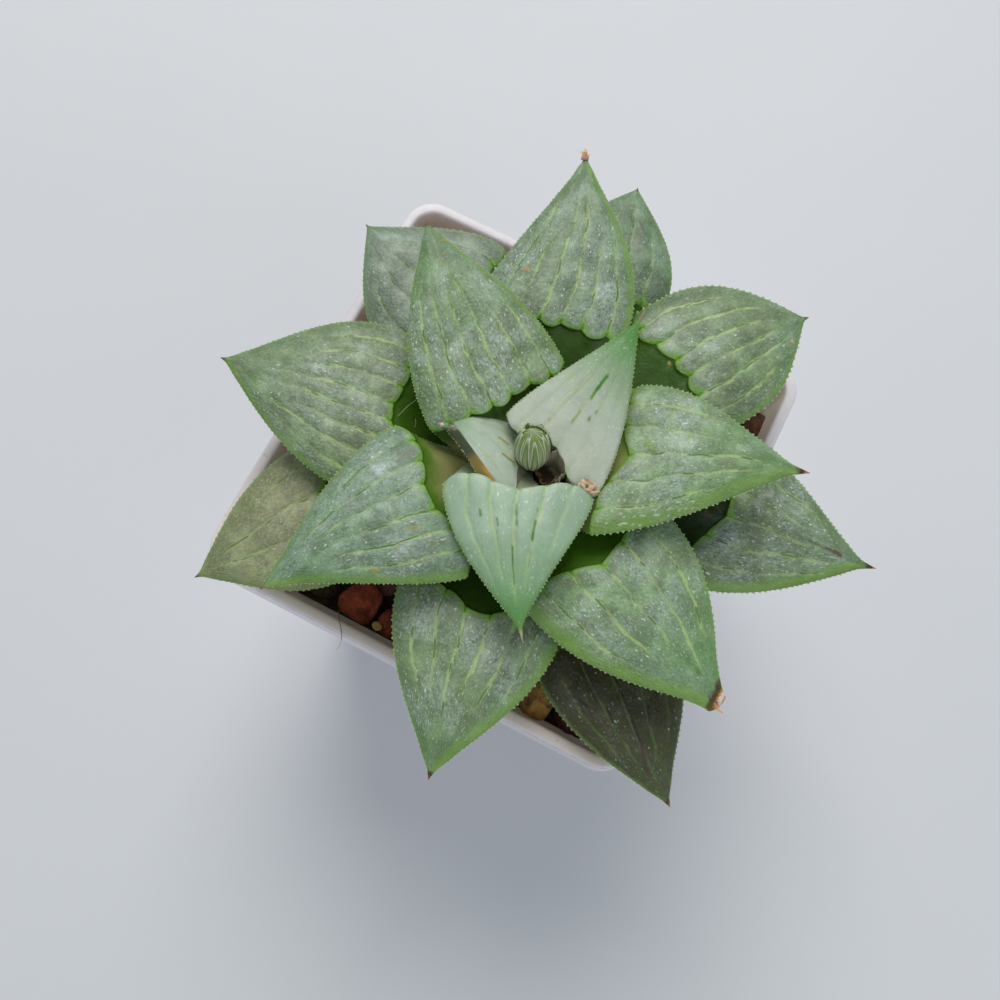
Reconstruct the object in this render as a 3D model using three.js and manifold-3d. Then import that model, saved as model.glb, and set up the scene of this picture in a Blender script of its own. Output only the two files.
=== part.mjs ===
// Potted haworthia: a rosette of thick, blunt-shouldered leaves with windowed tops on a short stem,
// rooted in coarse gravel in a tapered square nursery pot.
// Millimetres, +Z up. The origin is the middle of the pot's underside, and the pot's sides lie along X and Y.

import * as THREE from "three";
import { mergeVertices } from "three/addons/utils/BufferGeometryUtils.js";
import Module from "manifold-3d";

const wasm = await Module();
wasm.setup();

// Pot
const POT_WIDTH = 70; // outside, across the rim
const POT_BASE_WIDTH = 50;
const POT_HEIGHT = 64;
const POT_WALL = 1.2;
const POT_FLOOR = 1.8;
const RIM_WIDTH = 1.8; // the flat band on top of the wall
const RIM_ROUND = 0.5;
const LIP_HEIGHT = 5;
const LIP_PROUD = 0.9; // how far the rim band stands out from the wall
const LIP_FLARE = 0.3; // how much wider the band is at its lower edge
const RIM_CORNER = 5; // corner radius at the rim
const BASE_CORNER = 4;
const CORNER_STEPS = 4;
const INNER_CORNER_INSET = 1.5; // the inside corners' radius is this much smaller
const DRAIN_RADIUS = 3;
const DRAIN_SIDES = 16;
const DRAIN_REACH = 16; // from the middle of the floor, along X and along Y
const SLOT = { length: 12, width: 3, reach: 14 };
const FOOT_GROOVE = { width: 5, depth: 0.7, start: 11 };
const CUT_OVERRUN = 1; // how far a cutting body stands out of what it cuts

// Growing medium
const FIT_GAP = 0.3; // between neighbouring solids
const SOIL_DEPTH = 6; // from the rim down to the bedding surface
const GRAIN_PITCH = 6.3;
const GRAIN_ROW_SHARE = 0.9; // distance between the rows, as a share of the pitch
const GRAIN_SCATTER = 0.4;
const GRAIN_RADIUS = [2.8, 3.6];
const GRAIN_STRETCH = [[0.9, 1.1], [0.75, 0.95], [0.7, 0.9]]; // along x, y and z
const GRAIN_TILT = 0.5; // radians, at most
const GRAIN_MARGIN = 1.1; // room that a grain keeps from the wall, in grain radii
const GRAIN_SINK = 0.3; // how much of its radius a grain's centre lies under the bedding surface
const GRAIN_CLEAR = 10; // no grain stands nearer than this to the plant's axis
const GRAIN_SEED = 11;

// Plant: the rosette's axis stands a little off the pot's middle
const AXIS = new THREE.Vector2(3.5, -2);
const SOIL_TOP = POT_HEIGHT - SOIL_DEPTH;
const ROOT_DEPTH = 13; // of the root crown, under the bedding surface
const ROOT_HOLE_RADIUS = 6;
const STEM_SIDES = 12;
const ROOT_TIP = -SOIL_DEPTH - ROOT_DEPTH; // above the rim
// Radius of the root crown and the stem at each height above the rim, and their rounded top
const STEM_OUTLINE = [[3.2, ROOT_TIP], [5.4, -11], [5.2, -5], [4.2, 4], [3.2, 10], [2.2, 13.9]];
const STEM_TIP = { radius: 1.4, height: 14.5 };
const STEM_TAPER = { start: 4.64, slope: 0.18, least: 2.2, most: 5.2 }; // radius where the leaves sit

// Leaves, common form
const SHOULDER_AT = 0.42; // share of the leaf's course where its face bends into the window
const BASE_WIDTH = 11; // where a leaf leaves the stem
const BASE_WIDTH_SHARE = 0.6; // a narrow leaf's base is this share of its width
const BASE_THICKNESS = 3.4;
const SEAT_TOP = 13.5; // height above the rim of the youngest leaf's seat
const SEAT_STEP = 1.12; // each older leaf sits this much lower
const CROWN_SHARE = 0.24; // height of the window's swell over its margins, as a share of the thickness
const TIP_POINT = 1.15; // how sharply the margins close in on the tip
const TOOTH_LENGTH = 0.5;
const TEETH_PER_STEP = 3;
const TOOTH_LEAN = 0.2; // how far a tooth leans towards the leaf's tip
const BASE_TOOTH = 0.6; // the teeth below the shoulder are this much shorter
const SEAT_INSET = 0.6; // a seat starts this share of the stem's radius from its axis
const SEAT_FACE = 0.35; // share of the seat's thickness above the margins
const SEAT_TURN = 0.25; // share of the course before the shoulder over which a leaf turns from its seat
const NEAR_AXIS = 5; // a leaf whose shoulder is nearer to the axis sits on the side that it points to
const MARGIN_REACH = 0.6; // how far out from the shoulder the margins turn
const KEEL_REACH = 3; // how far out from the shoulder the underside lies deepest
const BEND = { margin: 0.02, face: 0.025, keel: 0.16 }; // width of the rounding at the shoulder
const FACE_ROUNDING = [2.5, 0.75];
const KEEL_ROUNDING = 1.7;
const WINDOW_BOW = 0.035; // share of the width that the window bulges halfway to the tip
const HEART_WIDTH = 0.3; // share of the half width
const SHOULDER_SPREAD = 0.13; // how far along the leaf the shape of the rear edge reaches
const TIP_CLOSING = 0.06; // share of the leaf's course over which its thickness closes at the tip
const YOUNG_LEAVES = 3;
const CLEARANCE_SHARE = 1.2; // faceted leaves are grown by more than the gap that they must keep
const TIP_CLEARANCE = 2; // in gaps, along the leaf

// Each leaf from the youngest to the oldest: where its shoulder and its tip lie, as the direction in degrees
// about the plant's axis, the reach from it and the height above the rim; its width and thickness; its shape.
// full rounds the sides, roll lifts the left margin, yaw turns the rear edge against the leaf's length,
// bend curves the leaf sideways, heart draws the middle of the rear edge in, and lobes push out its sides.
const leaf = (shoulder, tip, width, thick, shape) => ({ shoulder, tip, width, thick, ...shape });
const LEAVES = [
  leaf([250, 4.5, 18.5], [199, 12.5, 22], 10, 4, { roll: 25, bend: -2, heart: 0.5, lobes: 0.5 }),
  leaf([328, 3, 20.5], [75, 19.5, 27], 16.5, 4.5, { full: 0.8, yaw: -10, bend: -0.5, heart: 2.4, lobes: 0.4 }),
  leaf([277, 6.5, 21.5], [293, 25, 20], 20, 5, { full: 0.8, yaw: -7, bend: -1, heart: 0.4, lobes: 1.2 }),
  leaf([152, 8, 20], [142.5, 35, 22], 21, 6.5, { yaw: 6, bend: 0.5, heart: -1, lobes: 0.7 }),
  leaf([19, 10.5, 20], [21, 36, 20], 22.5, 7, { full: 0.95, yaw: -14, bend: 1, heart: 0.2, lobes: 0.8 }),
  leaf([234, 15, 18.5], [235.5, 41, 17], 23.5, 7, { full: 0.8, yaw: -4, bend: -1, heart: 1, lobes: 0.9 }),
  leaf([110, 19.5, 17], [107, 46.5, 18], 22.5, 7.5, { full: 0.95, bend: -1.5, heart: 0.2, lobes: 0.3 }),
  leaf([327, 16.5, 16], [332.5, 42.5, 14], 24, 7.5, { full: 1.15, yaw: -7, heart: 1.5, lobes: 0.4 }),
  leaf([189, 19.5, 14], [189, 46.5, 14], 27, 7.5, { full: 1.15, yaw: 15, heart: 1.5, lobes: 1.1 }),
  leaf([60, 26.5, 13], [55.5, 47, 13], 22.5, 7.5, { full: 1.4, yaw: 13, bend: 1, lobes: 1.5 }),
  leaf([278, 21.5, 12.5], [279.5, 45.5, 11], 23.5, 7.5, { full: 1, yaw: -2, heart: 1.7, lobes: 0.7 }),
  leaf([140, 28, 10], [150, 46, 10], 25, 7.5, { yaw: 4, bend: 1, heart: 0.5, lobes: 0.5 }),
  leaf([13, 28, 10], [10.5, 51, 9], 23.5, 7.5, { full: 0.9, yaw: -16, bend: -0.5, heart: 1.2, lobes: 0.4 }),
  leaf([218, 29, 9], [226, 49.5, 8], 21, 7.5, { full: 1.15, yaw: -7, heart: 1.2, lobes: 0.5 }),
  leaf([96, 31, 9], [96.5, 49.5, 9], 20.5, 7, { full: 1.25, yaw: 3, heart: 0.5, lobes: 0.5 }),
  leaf([319, 27.5, 6.5], [319, 50.5, 5], 21, 7, { full: 1, yaw: -17, bend: -0.5, heart: 0.5, lobes: 0.5 }),
];

// Flower bud and the dried foot of the last flower stalk, in the heart of the rosette
const BUD = { foot: [290, 2.6, 15], apex: [150, 0.8, 22], radius: 2.4, bracts: 7 };
const BUD_CORE = { proud: 0.4, share: 0.9, sides: 8, rings: 6 };
const BRACT = { depth: 0.8, width: 1.2 };
const STUB = { direction: 333, reach: 4.3, foot: 12.5, length: 5, radius: 1.8, sides: 9 };
const STUB_OUTSIDE = [[0.8, 0], [1, 0.6], [1.15, 1]]; // shares of the radius and of the length
const STUB_INSIDE = [[0.5, 1], [0, 0.75]];

// Materials
const finish = (color, roughness) => new THREE.MeshStandardMaterial({ color, roughness, metalness: 0 });
const POT_PLASTIC = finish(0xe9e3ea, 0.35);
const GRAVEL = finish(0x7d4a36, 0.9);
const STEM_SKIN = finish(0xb9b48a, 0.6);
const LEAF_SKIN = finish(0x6f9a6a, 0.4);
const YOUNG_LEAF_SKIN = finish(0xb7cfae, 0.4);
const BUD_SKIN = finish(0xa9b98c, 0.5);
const DRY_HUSK = finish(0x8a6a44, 0.8);

// Solids
const indexed = (positions, triangles) => {
  const geometry = new THREE.BufferGeometry();
  geometry.setAttribute("position", new THREE.Float32BufferAttribute(positions, 3));
  geometry.setIndex(triangles);
  return geometry;
};

const toSolid = (geometry) => {
  const bare = geometry.clone();
  bare.deleteAttribute("normal");
  bare.deleteAttribute("uv");
  const merged = mergeVertices(bare);
  return new wasm.Manifold(
    new wasm.Mesh({
      numProp: 3,
      vertProperties: new Float32Array(merged.attributes.position.array),
      triVerts: new Uint32Array(merged.index.array),
    }),
  );
};

const toGeometry = (solid) => {
  const { vertProperties, triVerts } = solid.getMesh();
  return indexed(Array.from(vertProperties), Array.from(triVerts));
};

const largestBody = (solid) => solid.decompose().sort((a, b) => b.volume() - a.volume())[0];

const placed = (geometry, x, y, z) => geometry.clone().translate(x, y, z);

// A closed solid through loops of equal length, from the first loop's cap round to the last one's.
const loft = (loops) => {
  const count = loops[0].length;
  const positions = [];
  const triangles = [];
  loops.forEach((loop) => loop.forEach((p) => positions.push(p.x, p.y, p.z)));
  for (let k = 0; k < loops.length - 1; k++) {
    for (let i = 0; i < count; i++) {
      const j = (i + 1) % count;
      const [a, b, c, d] = [k * count + i, k * count + j, (k + 1) * count + j, (k + 1) * count + i];
      triangles.push(a, b, c, a, c, d);
    }
  }
  const last = (loops.length - 1) * count;
  for (let i = 1; i < count - 1; i++) {
    triangles.push(0, i + 1, i);
    triangles.push(last, last + i, last + i + 1);
  }
  return indexed(positions, triangles);
};

// A square with rounded corners, half its width from the middle to each side.
const roundedSquare = (half, radius, z) => {
  const loop = [];
  for (let corner = 0; corner < 4; corner++) {
    for (let step = 0; step <= CORNER_STEPS; step++) {
      const angle = ((corner + step / CORNER_STEPS) * Math.PI) / 2;
      const outX = Math.cos(((corner + 0.5) * Math.PI) / 2) > 0 ? 1 : -1;
      const outY = Math.sin(((corner + 0.5) * Math.PI) / 2) > 0 ? 1 : -1;
      const x = outX * (half - radius) + radius * Math.cos(angle);
      const y = outY * (half - radius) + radius * Math.sin(angle);
      loop.push(new THREE.Vector3(x, y, z));
    }
  }
  return loop;
};

const upright = (radius, bottom, top, sides) =>
  new THREE.CylinderGeometry(radius, radius, top - bottom, sides)
    .rotateX(Math.PI / 2)
    .translate(0, 0, (bottom + top) / 2);

// Small repeatable random numbers from 0 to 1
const randomFrom = (seed) => {
  let state = seed;
  return () => {
    state = (state * 16807) % 2147483647;
    return state / 2147483647;
  };
};

// Pot
const wallHalfAt = (z) => {
  const top = POT_WIDTH / 2 - LIP_PROUD;
  return THREE.MathUtils.mapLinear(z, 0, POT_HEIGHT, POT_BASE_WIDTH / 2, top);
};

const INNER_TOP = POT_WIDTH / 2 - RIM_WIDTH;
const INNER_BOTTOM = wallHalfAt(POT_FLOOR) - POT_WALL;
const innerHalfAt = (z) => THREE.MathUtils.mapLinear(z, POT_FLOOR, POT_HEIGHT, INNER_BOTTOM, INNER_TOP);
const cornerAt = (z) => THREE.MathUtils.mapLinear(z, 0, POT_HEIGHT, BASE_CORNER, RIM_CORNER);

const makePot = () => {
  const lipBottom = POT_HEIGHT - LIP_HEIGHT;
  const half = POT_WIDTH / 2;
  const shell = toSolid(
    loft([
      roundedSquare(wallHalfAt(0) - RIM_ROUND, BASE_CORNER - RIM_ROUND, 0),
      roundedSquare(wallHalfAt(RIM_ROUND), BASE_CORNER, RIM_ROUND),
      roundedSquare(wallHalfAt(lipBottom), cornerAt(lipBottom), lipBottom),
      roundedSquare(half + LIP_FLARE, RIM_CORNER + LIP_FLARE, lipBottom),
      roundedSquare(half, RIM_CORNER, POT_HEIGHT - RIM_ROUND),
      roundedSquare(half - RIM_ROUND, RIM_CORNER - RIM_ROUND, POT_HEIGHT),
      roundedSquare(INNER_TOP + RIM_ROUND, RIM_CORNER - INNER_CORNER_INSET + RIM_ROUND, POT_HEIGHT),
      roundedSquare(INNER_TOP, RIM_CORNER - INNER_CORNER_INSET, POT_HEIGHT - RIM_ROUND),
      roundedSquare(INNER_BOTTOM, BASE_CORNER - INNER_CORNER_INSET, POT_FLOOR),
    ]),
  );
  const cuts = [];
  const through = [-CUT_OVERRUN, POT_FLOOR + CUT_OVERRUN];
  const grooveLength = POT_BASE_WIDTH / 2 + CUT_OVERRUN - FOOT_GROOVE.start;
  for (let quarter = 0; quarter < 4; quarter++) {
    const turn = (quarter * Math.PI) / 2;
    const drain = upright(DRAIN_RADIUS, ...through, DRAIN_SIDES).translate(DRAIN_REACH, DRAIN_REACH, 0);
    const slot = new THREE.BoxGeometry(SLOT.width, SLOT.length, through[1] - through[0]);
    const groove = new THREE.BoxGeometry(grooveLength, FOOT_GROOVE.width, 2 * FOOT_GROOVE.depth);
    cuts.push(drain.rotateZ(turn));
    cuts.push(slot.translate(SLOT.reach, 0, POT_FLOOR / 2).rotateZ(turn));
    cuts.push(groove.translate(FOOT_GROOVE.start + grooveLength / 2, 0, 0).rotateZ(turn));
  }
  return cuts.reduce((pot, cut) => pot.subtract(toSolid(cut)), shell);
};

// Stem, a short cone from the root crown up to the growing point
const makeStem = (grow = 0) => {
  const profile = [
    [0, ROOT_TIP - grow],
    [STEM_OUTLINE[0][0] + grow, ROOT_TIP - grow],
    ...STEM_OUTLINE.slice(1, -1).map(([radius, height]) => [radius + grow, height]),
    [STEM_OUTLINE.at(-1)[0] + grow, STEM_OUTLINE.at(-1)[1] + grow],
    [STEM_TIP.radius + grow, STEM_TIP.height + grow],
    [0, STEM_TIP.height + grow],
  ].map(([radius, height]) => new THREE.Vector2(radius, height));
  const turned = new THREE.LatheGeometry(profile, STEM_SIDES).rotateX(Math.PI / 2);
  return toSolid(placed(turned, AXIS.x, AXIS.y, POT_HEIGHT));
};

const seatRadiusAt = (height) => {
  const { start, slope, least, most } = STEM_TAPER;
  return THREE.MathUtils.clamp(start - slope * height, least, most);
};

// Leaves
const about = (direction, reach, height) => {
  const angle = THREE.MathUtils.degToRad(direction);
  const x = AXIS.x + reach * Math.cos(angle);
  const y = AXIS.y + reach * Math.sin(angle);
  return new THREE.Vector3(x, y, POT_HEIGHT + height);
};

// A path from start to end with a rounded corner in between; softness is how wide the rounding is.
const corneredPath = (start, corner, end, softness) => (s) => {
  const x = s - SHOULDER_AT;
  const root = Math.hypot(x, softness);
  const before = corner.clone().sub(start).multiplyScalar((x - root) / 2 / SHOULDER_AT);
  const after = end.clone().sub(corner).multiplyScalar((x + root) / 2 / (1 - SHOULDER_AT));
  return corner.clone().add(before).add(after);
};

// The points of one leaf's surface: s runs along it from seat to tip, v across it from -1 to 1.
const leafForm = (leaf, age) => {
  const { width, thick, full = 1.1, roll = 0, yaw = 0, bend = 0, heart = 0, lobes = 0 } = leaf;
  const shoulder = about(...leaf.shoulder);
  const tip = about(...leaf.tip);
  const seatHeight = SEAT_TOP - SEAT_STEP * age;
  const middle = shoulder.clone().add(tip).multiplyScalar(0.5);
  const seatDirection = leaf.shoulder[1] > NEAR_AXIS
    ? leaf.shoulder[0]
    : THREE.MathUtils.radToDeg(Math.atan2(middle.y - AXIS.y, middle.x - AXIS.x));
  const seat = about(seatDirection, seatRadiusAt(seatHeight) * SEAT_INSET, seatHeight);

  const along = tip.clone().sub(shoulder).normalize();
  const across = new THREE.Vector3(-along.y, along.x, 0).normalize();
  across.applyAxisAngle(along, THREE.MathUtils.degToRad(roll));
  const up = new THREE.Vector3().crossVectors(along, across);
  const seatAngle = THREE.MathUtils.degToRad(seatDirection);
  const seatAcross = new THREE.Vector3(-Math.sin(seatAngle), Math.cos(seatAngle), 0);
  const seatUp = shoulder.clone().sub(seat).normalize().cross(seatAcross).normalize();

  const crown = CROWN_SHARE * thick;
  const marginCorner = shoulder.clone().addScaledVector(along, MARGIN_REACH).addScaledVector(up, -crown);
  const keelCorner = shoulder.clone().addScaledVector(along, KEEL_REACH).addScaledVector(up, -thick);
  const seatTop = seat.clone().addScaledVector(seatUp, BASE_THICKNESS * SEAT_FACE);
  const seatBottom = seat.clone().addScaledVector(seatUp, BASE_THICKNESS * (SEAT_FACE - 1));
  const marginPath = corneredPath(seat, marginCorner, tip, BEND.margin);
  const facePath = corneredPath(seatTop, shoulder, tip, BEND.face);
  const keelPath = corneredPath(seatBottom, keelCorner, tip, BEND.keel);

  const baseWidth = Math.min(BASE_WIDTH, width * BASE_WIDTH_SHARE);
  const windowShare = (s) => THREE.MathUtils.clamp((s - SHOULDER_AT) / (1 - SHOULDER_AT), 0, 1);
  const halfWidth = (s) => {
    const t = windowShare(s);
    if (t > 0) return (width / 2) * Math.max(Math.cos((Math.PI / 2) * t ** full), 0) ** TIP_POINT;
    return THREE.MathUtils.mapLinear(s, 0, SHOULDER_AT, baseWidth / 2, width / 2);
  };
  const margin = (s) => marginPath(s).addScaledVector(across, bend * Math.sin(Math.PI * windowShare(s)));
  const sideways = (s) => {
    const turn = THREE.MathUtils.degToRad(yaw) * (1 - windowShare(s));
    const atWindow = across.clone().multiplyScalar(Math.cos(turn)).addScaledVector(along, -Math.sin(turn));
    const share = THREE.MathUtils.smoothstep(s, SHOULDER_AT - SEAT_TURN, SHOULDER_AT);
    return seatAcross.clone().lerp(atWindow, share).normalize();
  };
  const tipClosing = (s) => Math.sqrt(THREE.MathUtils.clamp((1 - s) / TIP_CLOSING, 0, 1));
  const faceProfile = (v) => (1 - Math.abs(v) ** FACE_ROUNDING[0]) ** FACE_ROUNDING[1];
  const keelProfile = (v) => 1 - Math.abs(v) ** KEEL_ROUNDING;

  const point = (s, v, side) => {
    const isFace = side === "face";
    const path = isFace ? facePath : keelPath;
    const rise = path(s).sub(marginPath(s)).multiplyScalar(tipClosing(s));
    if (isFace) rise.addScaledVector(up, WINDOW_BOW * width * Math.sin(Math.PI * windowShare(s)));
    const p = margin(s).addScaledVector(sideways(s), halfWidth(s) * v);
    p.addScaledVector(rise, isFace ? faceProfile(v) : keelProfile(v));
    if (isFace) {
      const rear = heart * Math.exp(-((v / HEART_WIDTH) ** 2)) - lobes * 4 * v ** 2 * (1 - v ** 2);
      p.addScaledVector(along, rear * Math.exp(-(((s - SHOULDER_AT) / SHOULDER_SPREAD) ** 2)));
    }
    return p;
  };
  // A margin point, with the length of the tooth that stands there
  const marginPoint = (s, sign, tooth) => {
    const p = margin(s).addScaledVector(sideways(s), sign * (halfWidth(s) + tooth));
    return p.addScaledVector(along, tooth > 0 ? TOOTH_LEAN : 0);
  };
  return { point, marginPoint, along, sideways, tip };
};

const STATIONS = [0, 0.13, 0.26, 0.37, 0.405, 0.43, 0.47, 0.54, 0.62, 0.7, 0.78, 0.86, 0.93];
const FACE_COLUMNS = [-0.9, -0.55, 0, 0.55, 0.9];
const KEEL_COLUMNS = [-0.8, 0, 0.8];
const TOOTHED_FROM = 0.26;
const LONG_STEP = 0.05; // a shorter step between stations carries one tooth

// The leaf as a closed mesh. With clearance it is the plain leaf, that much larger all round.
const leafGeometry = (form, clearance = 0) => {
  const positions = [];
  const triangles = [];
  const add = (p) => positions.push(p.x, p.y, p.z) / 3 - 1;
  const toothed = clearance === 0;

  const grid = (columns, side) => STATIONS.map((s) => columns.map((v) => add(form.point(s, v, side))));
  const face = grid(FACE_COLUMNS, "face");
  const keel = grid(KEEL_COLUMNS, "keel");
  // margins[side][step] lists the vertices from one station to the next
  const margins = [-1, 1].map((sign) => {
    const reach = toothed ? 0 : TOOTH_LENGTH;
    let first = add(form.marginPoint(STATIONS[0], sign, reach));
    const steps = [];
    for (let k = 0; k < STATIONS.length - 1; k++) {
      const [from, to] = [STATIONS[k], STATIONS[k + 1]];
      const room = to - from > LONG_STEP ? TEETH_PER_STEP : 1;
      const teeth = toothed && from >= TOOTHED_FROM ? room : 0;
      const step = [first];
      for (let tooth = 0; tooth < teeth; tooth++) {
        const at = THREE.MathUtils.lerp(from, to, (tooth + 0.5) / teeth);
        const length = at < SHOULDER_AT ? TOOTH_LENGTH * BASE_TOOTH : TOOTH_LENGTH;
        step.push(add(form.marginPoint(at, sign, length)));
        if (tooth < teeth - 1) {
          step.push(add(form.marginPoint(THREE.MathUtils.lerp(from, to, (tooth + 1) / teeth), sign, 0)));
        }
      }
      first = add(form.marginPoint(to, sign, reach));
      step.push(first);
      steps.push(step);
    }
    return steps;
  });
  const tip = add(form.tip);

  const tri = (a, b, c, flip) => (flip ? triangles.push(a, c, b) : triangles.push(a, b, c));
  const quad = (a, b, c, d, flip) => {
    tri(a, b, c, flip);
    tri(a, c, d, flip);
  };
  // Between the margin's vertices and the nearest inner column
  const edgeStrip = (step, inner, nextInner, flip) => {
    const half = Math.floor((step.length - 1) / 2);
    for (let i = 0; i < half; i++) tri(step[i], step[i + 1], inner, flip);
    tri(step[half], nextInner, inner, flip);
    for (let i = half; i < step.length - 1; i++) tri(step[i], step[i + 1], nextInner, flip);
  };
  const last = STATIONS.length - 1;
  for (const [rows, below] of [[face, false], [keel, true]]) {
    const end = rows[0].length - 1;
    for (let k = 0; k < last; k++) {
      for (let c = 0; c < end; c++) {
        quad(rows[k][c], rows[k + 1][c], rows[k + 1][c + 1], rows[k][c + 1], below);
      }
      edgeStrip(margins[0][k], rows[k][0], rows[k + 1][0], below);
      edgeStrip(margins[1][k], rows[k][end], rows[k + 1][end], !below);
    }
    const lastMargin = [0, 1].map((side) => margins[side][last - 1].at(-1));
    const closing = [lastMargin[0], ...rows[last], lastMargin[1]];
    for (let c = 0; c < closing.length - 1; c++) tri(closing[c], tip, closing[c + 1], below);
  }
  // The seat's cap
  const seat = [margins[0][0][0], ...keel[0], margins[1][0][0], ...[...face[0]].reverse()];
  const centre = add(form.point(0, 0, "face").add(form.point(0, 0, "keel")).multiplyScalar(0.5));
  seat.forEach((a, i) => tri(a, centre, seat[(i + 1) % seat.length], false));

  const geometry = indexed(positions, triangles);
  if (clearance > 0) swell(geometry, form, clearance, tip);
  return geometry;
};

// Moves every vertex out along its normal; the sharp tip also moves on along the leaf.
const swell = (geometry, form, clearance, tip) => {
  geometry.computeVertexNormals();
  const { position, normal } = geometry.attributes;
  for (let i = 0; i < position.count; i++) {
    const p = new THREE.Vector3().fromBufferAttribute(position, i);
    p.addScaledVector(new THREE.Vector3().fromBufferAttribute(normal, i), clearance * CLEARANCE_SHARE);
    if (i === tip) p.addScaledVector(form.along, clearance * TIP_CLEARANCE);
    position.setXYZ(i, p.x, p.y, p.z);
  }
  geometry.deleteAttribute("normal");
};

// Flower bud: a small leaning egg with pointed bracts standing out of it
const makeBud = (grow = 0) => {
  const { radius, bracts } = BUD;
  const foot = about(...BUD.foot);
  const axis = about(...BUD.apex).sub(foot);
  const half = axis.length() / 2;
  const upwards = new THREE.Vector3(0, 0, 1);
  const lean = new THREE.Quaternion().setFromUnitVectors(upwards, axis.clone().normalize());
  const middle = foot.addScaledVector(axis, 0.5);
  const inPlace = (geometry) => toSolid(placed(geometry.applyQuaternion(lean), ...middle));
  const core = radius - BUD_CORE.proud + grow;
  const egg = new THREE.SphereGeometry(1, BUD_CORE.sides, BUD_CORE.rings).rotateX(Math.PI / 2);
  let bud = inPlace(egg.scale(core, core, half * BUD_CORE.share + grow));
  for (let k = 0; k < bracts; k++) {
    const bract = new THREE.OctahedronGeometry(1, 0).rotateZ(Math.PI / 4);
    bract.scale(BRACT.depth + grow, BRACT.width + grow, half + grow);
    bract.translate(radius - BRACT.depth, 0, 0).rotateZ((k * 2 * Math.PI) / bracts);
    bud = bud.add(inPlace(bract));
  }
  return bud;
};

// Dried foot of an old flower stalk: a short husk, hollow at its top
const makeStub = () => {
  const { direction, reach, foot, length, radius, sides } = STUB;
  const outline = [[0, 0], ...STUB_OUTSIDE, ...STUB_INSIDE];
  const profile = outline.map(([r, z]) => new THREE.Vector2(r * radius, z * length));
  const husk = new THREE.LatheGeometry(profile, sides).rotateX(Math.PI / 2);
  return toSolid(placed(husk, ...about(direction, reach, foot)));
};

// The room that the husk takes up, filled and a little larger all round
const makeStubRoom = () => {
  const { direction, reach, foot, length, radius, sides } = STUB;
  const around = upright(radius * STUB_OUTSIDE.at(-1)[0] + FIT_GAP, -FIT_GAP, length + FIT_GAP, sides);
  return toSolid(placed(around, ...about(direction, reach, foot)));
};

// Gravel: one bed of fine medium that fills the pot, with the coarse grains of its surface fused to it
const makeGravel = (clearings) => {
  const low = POT_FLOOR + FIT_GAP;
  const bedLoop = (z) => roundedSquare(innerHalfAt(z) - FIT_GAP, cornerAt(z) - POT_WALL - FIT_GAP, z);
  let bed = toSolid(loft([bedLoop(low), bedLoop(SOIL_TOP)]));
  const random = randomFrom(GRAIN_SEED);
  const between = (a, b) => THREE.MathUtils.lerp(a, b, random());
  const edge = innerHalfAt(SOIL_TOP) - FIT_GAP - GRAIN_RADIUS[1] * GRAIN_MARGIN;
  const rows = Math.round((2 * edge) / (GRAIN_PITCH * GRAIN_ROW_SHARE));
  for (let row = 0; row <= rows; row++) {
    const y = THREE.MathUtils.mapLinear(row, 0, rows, -edge, edge);
    const count = Math.round((2 * edge) / GRAIN_PITCH) + (row % 2);
    for (let k = 0; k <= count; k++) {
      const x = THREE.MathUtils.mapLinear(k, 0, count, -edge, edge) + between(-GRAIN_SCATTER, GRAIN_SCATTER);
      const radius = between(...GRAIN_RADIUS);
      const grain = new THREE.IcosahedronGeometry(radius, 0);
      grain.scale(...GRAIN_STRETCH.map((range) => between(...range)));
      grain.rotateX(between(-GRAIN_TILT, GRAIN_TILT)).rotateZ(between(0, Math.PI));
      const fromAxis = Math.hypot(x - AXIS.x, y - AXIS.y);
      if (fromAxis < GRAIN_CLEAR) continue;
      bed = bed.add(toSolid(grain.translate(x, y, SOIL_TOP - radius * GRAIN_SINK)));
    }
  }
  const hole = upright(ROOT_HOLE_RADIUS, SOIL_TOP - ROOT_DEPTH - FIT_GAP, POT_HEIGHT, STEM_SIDES);
  const cutters = [toSolid(placed(hole, AXIS.x, AXIS.y, 0)), ...clearings];
  return largestBody(cutters.reduce((rest, cut) => rest.subtract(cut), bed));
};

const group = new THREE.Group();
const show = (name, solid, material) => {
  const mesh = new THREE.Mesh(toGeometry(solid), material);
  mesh.name = name;
  group.add(mesh);
};

// Every older leaf gives way to what stands inside it: the stem, the bud, the husk and the younger leaves.
const forms = LEAVES.map(leafForm);
const swollen = forms.map((form) => toSolid(leafGeometry(form, FIT_GAP)));
const heart = [makeStem(FIT_GAP), makeBud(FIT_GAP), makeStubRoom()];
const leaves = forms.map((form, age) => {
  const cutters = [...heart, ...swollen.slice(0, age)];
  return largestBody(cutters.reduce((leaf, cut) => leaf.subtract(cut), toSolid(leafGeometry(form))));
});

show("pot", makePot(), POT_PLASTIC);
show("gravel", makeGravel(swollen), GRAVEL);
show("stem", makeStem(), STEM_SKIN);
leaves.forEach((leaf, age) => {
  const name = "leaf_" + String(age + 1).padStart(2, "0");
  show(name, leaf, age < YOUNG_LEAVES ? YOUNG_LEAF_SKIN : LEAF_SKIN);
});
show("flower_bud", makeBud(), BUD_SKIN);
show("dry_stalk", makeStub().subtract(makeBud(FIT_GAP)).subtract(makeStem(FIT_GAP)), DRY_HUSK);

export default group;
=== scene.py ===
import math
import random

import bmesh
import bpy
import numpy as np
from mathutils import Matrix, Vector, kdtree, noise
from mathutils.bvhtree import BVHTree


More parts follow.
